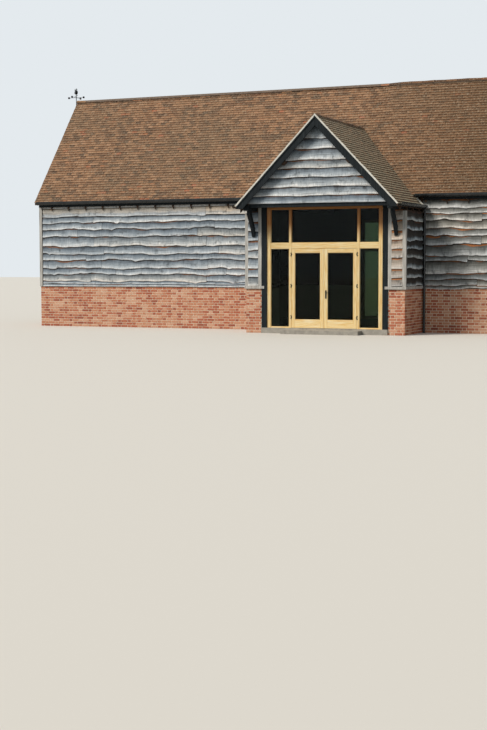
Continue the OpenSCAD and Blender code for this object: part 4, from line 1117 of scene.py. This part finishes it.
# The two lowest boards are nearly straight, and the uppermost ones are calmer than the rest
left_wall = join("left_wall", [
    boards(rows, lambda v: (-outer, -PORCH_HALF), draw, finish, staggered(draw, share), behind_pipe, rough)
    for rows, finish, share, rough in (
        (ROWS_LEFT[:-1], BOARDS, 0.1, lambda row: (0.1, 0.35)[row] if row < 2 else 1.1),
        (ROWS_LEFT[-2:], TAN_BOARDS, 0.4, 0.6),
        ([ROWS_LEFT[-1], WALL_BOARD_TOP], PALE_BOARDS, 0.7, 0.3))])
# The right wall's boards carry painted shade as well as browner wood
right_wall = boards(ROWS_RIGHT, lambda v: (PORCH_HALF, outer), draw, BROWN_BOARDS_WITH_PAINTED_SHADE, staggered(draw, 0.6),
                    behind_pipe, 1.1)
for name, wall in (("boards_front_left", left_wall), ("boards_front_right", right_wall)):
    wall.transform(FRONT)
    new_piece(name, wall, "barn", "weatherboard")

# %% Boards of the rear wall
OVER_DOORWAY = 3.30
rear_rows = [LOWEST_LIP, 1.40, 1.62, 1.83, 2.08, 2.27, 2.52, 2.74, 2.97, 3.16, OVER_DOORWAY]
top_rows = [OVER_DOORWAY, 3.53, WALL_BOARD_TOP]
rear = join("boards_rear", [
    boards(rear_rows, lambda v: (-outer, -rear_half), draw, BOARDS, staggered(draw, 0.3)),
    boards(rear_rows, lambda v: (rear_half, outer), draw, BOARDS, staggered(draw, 0.8)),
    boards(top_rows, lambda v: (-outer, outer), draw, BOARDS, staggered(draw, 0.2))])
rear.transform(REAR)
new_piece("boards_rear", rear, "barn", "weatherboard")


# %% Boards of the gable ends
LEAST_REACH = 0.02
LONG_BOARD = 3.2
JOINT_FROM_MIDDLE = 0.7


def rake(centre, apex, pitch, half):
    """Both ends of a gable's boards at some height: upright up to the eaves, then along the rake."""
    def ends(v):
        reach = min(half, max((apex - v) / math.tan(pitch), LEAST_REACH))
        return centre - reach, centre + reach
    return ends


def end_joints(row, left, right):
    """One joint in each long board of a gable end, to either side of its middle by turns."""
    aside = JOINT_FROM_MIDDLE if row % 2 else -JOINT_FROM_MIDDLE
    return [(left + right) / 2 + aside] if right - left > LONG_BOARD else []


# The rakes of the boards meet a little below the top of the roof
END_APEX = ROOF_HIGH.z - 0.14
TOP_BOARD_GAP = 0.02
INSIDE_CORNER = 0.03
end_rows = [LOWEST_LIP, 1.42, 1.66, 1.86, 2.12, 2.33, 2.57, 2.82, 3.04, 3.29, 3.5, 3.76, 3.98, 4.22, 4.44,
            4.7, 4.93, 5.17, 5.4, 5.66, 5.88, 6.12, 6.35, 6.58, 6.8, END_APEX - TOP_BOARD_GAP]
middle_y = (FRONT_Y + REAR_Y) / 2
half_end = (REAR_Y - FRONT_Y) / 2 - INSIDE_CORNER
for name, where, centre in (("boards_end_left", LEFT_END, -middle_y),
                            ("boards_end_right", RIGHT_END, middle_y)):
    wall = boards(end_rows, rake(centre, END_APEX, MAIN_PITCH, half_end), draw, BOARDS, end_joints)
    wall.transform(where)
    new_piece(name, wall, "barn", "weatherboard")

# %% Boards of the porch
GABLE_APEX = PORCH_HIGH.z - 0.1
GABLE_BOARDS_HALF = 2.11
gable_rows = [3.52, 3.707, 3.95, 4.20, 4.435, 4.655, 4.955, 5.21, PORCH_HIGH.z - 0.13]
gable = boards(gable_rows, rake(0, GABLE_APEX, PORCH_PITCH, GABLE_BOARDS_HALF), draw, BOARDS,
               rough=lambda row: 0.15 if row == 0 else 0.5)
gable.transform(GABLE_FACE)
new_piece("boards_gable", gable, "barn", "weatherboard")
PORCH_ROWS = [1.295, 1.52, 1.77, 2.05, 2.29, 2.53, 2.80, 3.04, 3.33]
PANEL_INNER = 1.905
PANEL_OUTER = 2.21
panels = join("boards_panels", [
    boards(PORCH_ROWS, lambda v: (-PANEL_OUTER, -PANEL_INNER), draw, BOARDS, rough=0.8),
    boards(PORCH_ROWS, lambda v: (PANEL_INNER, PANEL_OUTER), draw, PANEL_BOARDS, rough=0.8)])
panels.transform(PORCH_FRONT)
new_piece("boards_porch_panels", panels, "barn", "weatherboard")
SIDE_TOP = 3.29
POST_DEPTH = 0.06
side_rows = PORCH_ROWS[:-1] + [SIDE_TOP]
# The right side of the porch gets boards whose dark colours paint its shade
for name, where, near, far, finish in (
        ("boards_porch_left", PORCH_LEFT, -FRONT_Y, -POST_DEPTH, BOARDS),
        ("boards_porch_right", PORCH_RIGHT, POST_DEPTH, FRONT_Y, PAINTED_SHADE_BOARDS)):
    wall = boards(side_rows, lambda v: (near, far), draw, finish,
                  thin=lambda u, v: 0.5 if abs(u) > FRONT_Y - BEHIND_PIPE else 1.0)
    wall.transform(where)
    new_piece(name, wall, "barn", "weatherboard")

# %% [markdown]
# ## Oak screen and doors
# The screen and the doors are joinery: planed members with their arrises just taken off, which catch a
# thin line of light. One helper makes a box with chamfered edges and lays the grain along its longest side,
# so that a post has upright grain and a rail level grain. The beads that hold the glass are members too.

# %% Chamfered timbers
def chamfered_box():
    """The corners of a box as signs, and its faces once chamfered, with three points at each corner."""
    signs = [(x, y, z) for x in (0, 1) for y in (0, 1) for z in (0, 1)]
    number = {sign: i for i, sign in enumerate(signs)}
    faces = []
    for axis in range(3):
        one, two = [a for a in range(3) if a != axis]
        for end in (0, 1):
            ring = []
            for p, q in ((0, 0), (1, 0), (1, 1), (0, 1)):
                sign = [0, 0, 0]
                sign[axis], sign[one], sign[two] = end, p, q
                ring.append(number[tuple(sign)] * 3 + axis)
            faces.append(ring)
        for p in (0, 1):
            for q in (0, 1):
                near, far = [0, 0, 0], [0, 0, 0]
                near[one] = far[one] = p
                near[two] = far[two] = q
                far[axis] = 1
                a, b = number[tuple(near)] * 3, number[tuple(far)] * 3
                faces.append([a + one, b + one, b + two, a + two])
    return signs, faces + [[3 * i, 3 * i + 1, 3 * i + 2] for i in range(8)]


BOX_CORNERS, BOX_FACES = chamfered_box()


def timbers(members, draw, material, chamfer=0.003):
    """Members given by their lowest and highest corners, as one mesh with grain and tone."""
    points, faces, grain, tone = [], [], [], []
    for low, high in members:
        low, high = np.array(low, float), np.array(high, float)
        cut = min(chamfer, (high - low).min() / 3)
        along = int(np.argmax(high - low))
        shift = draw.uniform(0, 40, 2)
        shade = draw.random()
        faces += [[len(points) + i for i in ring] for ring in BOX_FACES]
        for sign in BOX_CORNERS:
            for axis in range(3):
                inset = np.where(np.array(sign) == 1, -cut, cut)
                inset[axis] = 0
                spot = np.where(np.array(sign) == 1, high, low) + inset
                points.append(spot)
                grain.append((spot[along] + shift[0], spot.sum() - spot[along] + shift[1]))
                tone.append(shade)
    return wooden("timbers", np.array(points), faces, np.array(grain), material, tone=np.array(tone))


BEAD_WIDTH = 0.012
BEAD_DEPTH = 0.016


def beads(left, right, bottom, top, face, depth=BEAD_DEPTH):
    """Four glazing beads round a pane, their front at the given Y."""
    inner_left, inner_right, back = left + BEAD_WIDTH, right - BEAD_WIDTH, face + depth
    return [((left, face, bottom), (inner_left, back, top)),
            ((inner_right, face, bottom), (right, back, top)),
            ((inner_left, face, bottom), (inner_right, back, bottom + BEAD_WIDTH)),
            ((inner_left, face, top - BEAD_WIDTH), (inner_right, back, top))]


# %% Sealed units
SHEET = 0.004
SPACER = 0.01
GLASS_EDGE = 0.0005


def glaze(name, openings, front, back, body, replaced):
    """Sealed units in openings (left, right, bottom, top): two sheets with a black spacer bar between."""
    draw = np.random.default_rng(9)
    sheets, bars = [], []
    for left, right, bottom, top in openings:
        sheets += [((left, front, bottom), (right, front + SHEET, top)),
                   ((left, back - SHEET, bottom), (right, back, top))]
        near, far = front + SHEET, back - SHEET
        bars += [((left, near, bottom), (left + SPACER, far, top)),
                 ((right - SPACER, near, bottom), (right, far, top)),
                 ((left + SPACER, near, bottom), (right - SPACER, far, bottom + SPACER)),
                 ((left + SPACER, near, top - SPACER), (right - SPACER, far, top))]
    unit = join(name, [timbers(sheets, draw, GLASS, GLASS_EDGE), timbers(bars, draw, IRON, GLASS_EDGE)])
    new_piece(name, unit, body, "glass", replaced)


# %% The screen
SCREEN_HALF = SCREEN_HIGH.x
SCREEN_TOP = SCREEN_HIGH.z
FRAME_DEPTH = 0.1
POST = 0.112
DOORWAY_HALF = 0.945
MULLION_OUTER = 1.01
TRANSOM = (2.312, 2.468)
HEAD = 3.384
LOW_RAIL = FLOOR_Z + 0.025
STOP = 0.015
STOP_Y = 0.06
BEAD_Y = 0.022
RAIL_SETBACK = 0.003
BITE = 0.001
draw = np.random.default_rng(202)
inner_post = SCREEN_HALF - POST
members = [((-SCREEN_HALF, 0, HEAD), (SCREEN_HALF, FRAME_DEPTH, SCREEN_TOP)),
           ((-DOORWAY_HALF, RAIL_SETBACK, TRANSOM[0]), (DOORWAY_HALF, FRAME_DEPTH, TRANSOM[1])),
           ((-DOORWAY_HALF, STOP_Y, TRANSOM[0] - STOP), (DOORWAY_HALF, FRAME_DEPTH, TRANSOM[0] + BITE))]
for side in (-1, 1):
    def span(near, far, y0, y1, z0, z1):
        return (min(side * near, side * far), y0, z0), (max(side * near, side * far), y1, z1)
    members += [span(inner_post, SCREEN_HALF, 0, FRAME_DEPTH, FLOOR_Z, HEAD),
                span(DOORWAY_HALF, MULLION_OUTER, 0, FRAME_DEPTH, FLOOR_Z, HEAD),
                span(MULLION_OUTER, inner_post, RAIL_SETBACK, FRAME_DEPTH, *TRANSOM),
                span(MULLION_OUTER, inner_post, RAIL_SETBACK, FRAME_DEPTH, FLOOR_Z, LOW_RAIL),
                span(DOORWAY_HALF - STOP, DOORWAY_HALF + BITE, STOP_Y, FRAME_DEPTH, FLOOR_Z, TRANSOM[0])]
    left, right = sorted((side * MULLION_OUTER, side * inner_post))
    members += beads(left, right, LOW_RAIL, TRANSOM[0], BEAD_Y)
    members += beads(left, right, TRANSOM[1], HEAD, BEAD_Y)
members += beads(-DOORWAY_HALF, DOORWAY_HALF, TRANSOM[1], HEAD, BEAD_Y)
new_piece("oak_screen", timbers(members, draw, OAK), "barn", "oak", "entrance_frame")
lights = [(-DOORWAY_HALF, DOORWAY_HALF, TRANSOM[1], HEAD)]
for left, right in ((-inner_post, -MULLION_OUTER), (MULLION_OUTER, inner_post)):
    lights += [(left, right, LOW_RAIL, TRANSOM[0]), (left, right, TRANSOM[1], HEAD)]
GLASS_LOW, GLASS_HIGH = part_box("entrance_glass")
glaze("glass_screen", lights, GLASS_LOW.y, GLASS_HIGH.y, "barn", "entrance_glass")

# %% The door leaves
LEAF_BACK = 0.054
STILE = 0.098
MEETING_EDGE, HINGE_EDGE = 0.003, 0.939
LEAF_RAIL_SETBACK = 0.002
LEAF_BEAD_Y, LEAF_BEAD_DEPTH = 0.006, 0.01
# The opening in the leaf reaches past the pane by a setting block below and a gap above
SETTING_BLOCK, TOP_CLEARANCE = 0.016, 0.008
LEAF_LOW, LEAF_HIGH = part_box("door_left_glass")
leaf_bottom, leaf_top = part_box("door_left")[0].z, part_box("door_left")[1].z
pane_low, pane_high = LEAF_LOW.z - SETTING_BLOCK, LEAF_HIGH.z + TOP_CLEARANCE
pane_near, pane_far = MEETING_EDGE + STILE, HINGE_EDGE - STILE
rail_back = LEAF_BACK - LEAF_RAIL_SETBACK
for side, body in ((-1, "door_leaf_left"), (1, "door_leaf_right")):
    members = [((MEETING_EDGE, 0, leaf_bottom), (pane_near, LEAF_BACK, leaf_top)),
               ((pane_far, 0, leaf_bottom), (HINGE_EDGE, LEAF_BACK, leaf_top)),
               ((pane_near, LEAF_RAIL_SETBACK, leaf_bottom), (pane_far, rail_back, pane_low)),
               ((pane_near, LEAF_RAIL_SETBACK, pane_high), (pane_far, rail_back, leaf_top))]
    members += beads(pane_near, pane_far, pane_low, pane_high, LEAF_BEAD_Y, LEAF_BEAD_DEPTH)
    if side < 0:
        members = [((-high[0], low[1], low[2]), (-low[0], high[1], high[2])) for low, high in members]
    name = body.replace("door_leaf", "door")
    new_piece("oak_" + body, timbers(members, draw, OAK), body, "oak", name)
    left, right = sorted((side * pane_near, side * pane_far))
    glaze("glass_" + body, [(left, right, pane_low, pane_high)], LEAF_LOW.y, LEAF_HIGH.y, body,
          name + "_glass")

# %% The rear frame
REAR_LOW, REAR_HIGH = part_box("rear_frame")
REAR_POST = 0.09
REAR_MULLION = 0.0375
rear_front, rear_back = REAR_LOW.y, REAR_LOW.y + FRAME_DEPTH
rear_head = REAR_HIGH.z - REAR_POST
members = [((-rear_half, rear_front, rear_head), (rear_half, rear_back, REAR_HIGH.z)),
           ((-REAR_MULLION, rear_front, FLOOR_Z), (REAR_MULLION, rear_back, rear_head))]
for side in (-1, 1):
    post = sorted((side * (rear_half - REAR_POST), side * rear_half))
    left, right = sorted((side * REAR_MULLION, side * (rear_half - REAR_POST)))
    members.append(((post[0], rear_front, FLOOR_Z), (post[1], rear_back, rear_head)))
    for low, high in ((FLOOR_Z, FLOOR_Z + REAR_POST), TRANSOM):
        members.append(((left, rear_front + RAIL_SETBACK, low), (right, rear_back - RAIL_SETBACK, high)))
    for low, high in ((FLOOR_Z + REAR_POST, TRANSOM[0]), (TRANSOM[1], rear_head)):
        members += beads(left, right, low, high, rear_back - BEAD_Y - BEAD_DEPTH)
new_piece("oak_rear_frame", timbers(members, draw, OAK), "barn", "oak", "rear_frame")

# %% [markdown]
# ## Hinges
# Each leaf hangs on three butt hinges with a round barrel in front of the joint. Two knuckles and a flange
# belong to the frame and the middle knuckle to the leaf, and each moves with its own body. A barrel is a
# turned shape, so its outline is given as radius and height and carried round the pin.

# %% Turned shapes
def turned(profile, steps=20):
    """A closed solid of revolution round Z from (radius, height) pairs that start and end on the axis."""
    angles = [2 * math.pi * i / steps for i in range(steps)]
    points = [(0, 0, profile[0][1])]
    for radius, height in profile[1:-1]:
        points += [(radius * math.cos(a), radius * math.sin(a), height) for a in angles]
    points.append((0, 0, profile[-1][1]))
    rings, last = len(profile) - 2, len(points) - 1
    faces = [(0, 1 + (i + 1) % steps, 1 + i) for i in range(steps)]
    for ring in range(rings - 1):
        base = 1 + ring * steps
        faces += [(base + i, base + (i + 1) % steps, base + steps + (i + 1) % steps, base + steps + i)
                  for i in range(steps)]
    base = 1 + (rings - 1) * steps
    faces += [(base + i, base + (i + 1) % steps, last) for i in range(steps)]
    made = bpy.data.meshes.new("turned")
    made.from_pydata(points, [], faces)
    return outward(made)


# %% Knuckles and flanges
HINGE_X, HINGE_Y = 0.942, -0.010
HINGE_HEIGHTS = (0.45, 1.3025, 2.155)
BARREL = 0.008
HINGE_HEIGHT = 0.1
KNUCKLE = (HINGE_HEIGHT - 0.002) / 3
SOFT = 0.0015
FLANGE_REACH = 0.014
FLANGE_Y = (HINGE_Y + BARREL - 0.003, 0.0005)


def knuckle(x, bottom, side):
    """A barrel piece with softened ends and the flange that runs back from it to the timber."""
    barrel = turned([(0, 0), (BARREL - SOFT, 0), (BARREL, SOFT), (BARREL, KNUCKLE - SOFT),
                     (BARREL - SOFT, KNUCKLE), (0, KNUCKLE)])
    barrel.transform(Matrix.Translation((x, HINGE_Y, bottom)))
    barrel.materials.append(IRON)
    left, right = sorted((x, x + side * (BARREL + FLANGE_REACH)))
    flange = timbers([((left, FLANGE_Y[0], bottom), (right, FLANGE_Y[1], bottom + KNUCKLE))],
                     np.random.default_rng(1), IRON, chamfer=0.001)
    return [barrel, flange]


on_frame = []
for side, body in ((-1, "door_leaf_left"), (1, "door_leaf_right")):
    on_leaf = []
    for middle in HINGE_HEIGHTS:
        low = middle - HINGE_HEIGHT / 2
        on_frame += knuckle(side * HINGE_X, low, side)
        on_frame += knuckle(side * HINGE_X, low + HINGE_HEIGHT - KNUCKLE, side)
        on_leaf += knuckle(side * HINGE_X, middle - KNUCKLE / 2, -side)
    new_piece("hinges_" + body, join("hinges", on_leaf), body, "dark_iron")
new_piece("hinges_frame", join("hinges", on_frame), "barn", "dark_iron")

# %% [markdown]
# ## Weathervane
# The mast and the bird stay as the CAD nodes that they are. Each arm below the bird ends in a forged ball,
# which is turned like the hinge barrels, so no second way of making round things is needed.

# %% Balls on the arms
BALL_RADIUS = 0.034
BALL_REACH = 0.272
MAST_X, ARM_Z = -10.09, 7.295
crossing = Vector((MAST_X, (FRONT_Y + REAR_Y) / 2, ARM_Z))
pole_to_pole = np.linspace(0, math.pi, 9)
balls = []
for step in ((1, 0), (-1, 0), (0, 1), (0, -1)):
    ball = turned([(BALL_RADIUS * math.sin(a), -BALL_RADIUS * math.cos(a)) for a in pole_to_pole], 14)
    ball.transform(Matrix.Translation(crossing + BALL_REACH * Vector((*step, 0))))
    ball.materials.append(IRON)
    balls.append(ball)
new_piece("vane_balls", join("vane_balls", balls), "barn", "dark_iron")

# %% [markdown]
# ## Verges and flashings
# The front edge of the porch roof is pointed with pale mortar above the black bargeboards, and the same
# mortar closes the tiles against the wall behind. These are hand-made fillets, so they swell and thin out.
# Each is a strip of short sections, and a small random jolt at every section does what a trowel does.

# %% Mortar fillets
def fillet(where, along, across, low, high, draw, pieces=24, material=PALE_MORTAR):
    """A strip up a slope, from along[0] to along[1], with uneven faces."""
    steps = np.linspace(along[0], along[1], pieces)
    points = []
    for v in steps:
        jolt = draw.uniform(-0.004, 0.004, 4)
        points += [(across[0] + jolt[0], v, low), (across[1] + jolt[1], v, low),
                   (across[1] + jolt[2], v, high + jolt[3]), (across[0], v, high + jolt[3])]
    made = bpy.data.meshes.new("fillet")
    made.from_pydata(points, [], tube(0, pieces, 4))
    outward(made)
    made.transform(where)
    made.materials.append(material)
    return made


draw = np.random.default_rng(303)
PAST_END = 0.01
SHORT_OF_RIDGE = 0.02
# How far below and above the slope each kind of fillet reaches
MORTAR_REACH, BOARD_REACH = (-0.03, 0.01), (-0.064, -0.03)
FLASHING_REACH, MAIN_VERGE_REACH = (0.0, 0.05), (-0.05, 0.008)
verge = (PORCH_LOW.y - 0.006, PORCH_LOW.y + 0.03)
at_wall = (PORCH_REAR_Y - 0.03, FRONT_Y - 0.004)
fillets = []
for where, side in ((PORCH_RIGHT_SLOPE, 1), (PORCH_LEFT_SLOPE, -1)):
    front, back = sorted(side * y for y in verge), sorted(side * y for y in at_wall)
    fillets.append(fillet(where, (-PAST_END, PORCH_SLOPE_LENGTH + PAST_END), front, *MORTAR_REACH, draw))
    fillets.append(fillet(where, (-PAST_END, PORCH_SLOPE_LENGTH - SHORT_OF_RIDGE), front, *BOARD_REACH,
                          draw, material=BLACK_CAD_TIMBER))
    fillets.append(fillet(where, (-PAST_END, PORCH_FREE_LENGTH - SHORT_OF_RIDGE), back, *FLASHING_REACH,
                          draw, pieces=8))
for where in (FRONT_SLOPE, REAR_SLOPE):
    for side in (-1, 1):
        edge = sorted((side * (ROOF_HIGH.x - 0.03), side * (ROOF_HIGH.x + 0.005)))
        fillets.append(fillet(where, (-PAST_END, MAIN_SLOPE_LENGTH - PAST_END), edge, *MAIN_VERGE_REACH,
                              draw, pieces=40, material=OLD_MORTAR))
new_piece("verge_mortar", join("verge_mortar", fillets), "barn", "clay_tile")

# %% [markdown]
# ## Fascias and rafter heels
# Behind the main gutters runs a black board that closes the feet of the rafters; its black also paints the
# shade under the gutters. Below it the heel of each rafter shows on the wall. Both are plain sawn timber,
# so the helper for chamfered members makes them, and one spacing sets out all the heels.

# %% Fascias and rafter heels
FASCIA_OUT, FASCIA_BACK = 0.004, 0.029
FASCIA_LOW, FASCIA_HIGH = 3.645, 3.79
FASCIA_GAP = 0.03
rear_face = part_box("roof_rear")[1].y
beside_porch = PORCH_HALF + FASCIA_GAP
# The fascias' black also paints the shade that falls under the gutters
runs = [((left, ROOF_LOW.y + FASCIA_OUT, FASCIA_LOW), (right, ROOF_LOW.y + FASCIA_BACK, FASCIA_HIGH))
        for left, right in ((-HALF_LENGTH, -beside_porch), (beside_porch, HALF_LENGTH))]
runs.append(((-HALF_LENGTH, rear_face - FASCIA_BACK, FASCIA_LOW),
             (HALF_LENGTH, rear_face - FASCIA_OUT, FASCIA_HIGH)))
new_piece("fascias_with_painted_shade", timbers(runs, draw, BLACK_CAD_TIMBER), "barn", "dark_timber")
RAFTER_GAP = 0.591
RAFTERS_EACH_WAY = 16
HEEL_HALF = 0.011
HEEL_OUT, HEEL_BACK = 0.056, 0.03
HEEL_LOW, HEEL_HIGH = 3.525, 3.66
CLEAR_OF_PORCH = 0.2
centres = [RAFTER_GAP * i for i in range(-RAFTERS_EACH_WAY, RAFTERS_EACH_WAY + 1)]
heels = [((x - HEEL_HALF, FRONT_Y - HEEL_OUT, HEEL_LOW), (x + HEEL_HALF, FRONT_Y - HEEL_BACK, HEEL_HIGH))
         for x in centres if abs(x) > PORCH_HALF + CLEAR_OF_PORCH]
new_piece("rafter_heels", timbers(heels, draw, OLD_OAK), "barn", "roof_timber")

# %% [markdown]
# ## Braces and sill ends
# A hollow-curved brace carries each cantilevered plate, with open air between it and the wall. The CAD node
# is a solid knee, so the brace replaces it: its two lines are bowed by a parabola and drawn out sideways,
# as a sawyer cuts a brace from one bent plank. The porch sills run on over the black posts.

# %% Braces
BRACE_WIDTH = 0.09
BRACE_RISE = 0.6
BRACE_SAG = 0.03
FOOT_OUT = 0.06
FOOT_HEIGHT = 0.16
BACK_REACH = 0.3
BACK_RISE = BRACE_RISE - 0.13
BACK_SAG_SHARE = 0.6
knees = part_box("gable_brackets")
foot, head = knees[0].z, knees[1].z
steps = np.linspace(0, 1, 9)
hollow = BRACE_SAG * 4 * steps * (1 - steps)
front = [(-FOOT_OUT + (knees[0].y + FOOT_OUT) * t + dip, foot + BRACE_RISE * t)
         for t, dip in zip(steps, hollow)]
back = [(-BACK_REACH * t + dip, foot + FOOT_HEIGHT + BACK_RISE * t)
        for t, dip in zip(steps, BACK_SAG_SHARE * hollow)]
front_line = front + [(knees[0].y, head)]
back_line = [(0.0, foot)] + [(min(y, 0.0), z) for y, z in back[:-1]] + [(-BACK_REACH, head)]
braces = []
for side in (-1, 1):
    left, right = sorted((side * (knees[1].x - BRACE_WIDTH), side * knees[1].x))
    brace = bent_strip(front_line, back_line, left, right)
    brace.materials.append(BLACK_CAD_TIMBER)
    braces.append(brace)
new_piece("gable_braces", join("gable_braces", braces), "barn", "dark_timber", "gable_brackets")

# %% Sill ends
SILL_RUN = 0.088
OVER_POST = 0.004
sills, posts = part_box("porch_sills"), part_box("doorway_posts")
ends = []
for side, x in ((-1, posts[0].x - OVER_POST), (1, posts[1].x + OVER_POST)):
    left, right = sorted((x, x - side * SILL_RUN))
    ends.append(((left, sills[0].y - 0.002, sills[0].z),
                 (right, posts[0].y + OVER_POST, sills[1].z + OVER_POST)))
new_piece("sill_ends", timbers(ends, draw, GREY_CAD_TIMBER), "barn", "weathered_sill")

# %% [markdown]
# ## Gutter brackets and pipe clips
# Cast brackets carry the gutters about every metre, and clips hold the downpipes to the wall. Both are
# bent strips, and the row tree that lays the ridge tiles repeats them.

# %% Gutter brackets
GUTTER_RADIUS = 0.057
GUTTER_SIDE = 0.045
STRAP = 0.004
STRAP_HALF = 0.0125
STRAP_BITE = 0.001


def strap_line(radius):
    """Half a circle with the straight sides of a deep gutter above it."""
    return [(-radius, GUTTER_SIDE), *arc(radius, 180, 360, 12), (radius, GUTTER_SIDE)]


strap = bent_strip(strap_line(GUTTER_RADIUS + STRAP), strap_line(GUTTER_RADIUS - STRAP_BITE),
                   -STRAP_HALF, STRAP_HALF)
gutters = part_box("gutters")
PORCH_STOP = VALLEY_FOOT + 0.41
GUTTER_Y = ROOF_LOW.y - GUTTER_RADIUS
GUTTER_Z = gutters[1].z - GUTTER_SIDE
PORCH_GUTTER_X, PORCH_GUTTER_Z = 2.337, 3.455
PORCH_FIRST_Y, PORCH_BRACKET_GAP = -0.5, 1.1
BRACKET_GAP = 0.98
runs = []
for start, end, y in ((-HALF_LENGTH, -PORCH_STOP, GUTTER_Y), (PORCH_STOP, HALF_LENGTH, GUTTER_Y),
                      (-HALF_LENGTH, HALF_LENGTH, gutters[1].y - GUTTER_RADIUS)):
    count = round((end - start) / BRACKET_GAP)
    run = grow(ROW_TREE, strap, count=count + 1, pitch=(end - start) / count, seed=4,
               material=GUTTER_PAINT)
    run.transform(Matrix.Translation((start, y, GUTTER_Z)))
    runs.append(run)
for x in (-PORCH_GUTTER_X, PORCH_GUTTER_X):
    run = grow(ROW_TREE, strap, count=3, pitch=PORCH_BRACKET_GAP, seed=4, material=GUTTER_PAINT)
    run.transform(Matrix.Translation((x, PORCH_FIRST_Y, PORCH_GUTTER_Z))
                  @ Matrix.Rotation(math.pi / 2, 4, "Z"))
    runs.append(run)
print(len(runs), "runs of brackets")

# %% Pipe clips
PIPE_RADIUS = 0.034
CLIP_THICKNESS = 0.006
CLIP_WIDTH = 0.04
LOWEST_CLIP, CLIP_GAP = 0.55, 1.15
PORCH_PIPE, REAR_PIPE = (PORCH_GUTTER_X, 1.638), (9.764, 7.057)
collar = bent_strip(arc(PIPE_RADIUS + CLIP_THICKNESS, 0, 340, 20),
                    arc(PIPE_RADIUS - STRAP_BITE, 0, 340, 20), 0, CLIP_WIDTH)
for x, y in (PORCH_PIPE, REAR_PIPE):
    for side in (-1, 1):
        run = grow(ROW_TREE, collar, count=3, pitch=CLIP_GAP, seed=4, material=GUTTER_PAINT)
        run.transform(Matrix.Translation((side * x, y, LOWEST_CLIP))
                      @ Matrix.Rotation(-math.pi / 2, 4, "Y"))
        runs.append(run)
new_piece("gutter_brackets", join("gutter_brackets", runs), "barn", "black_metal")
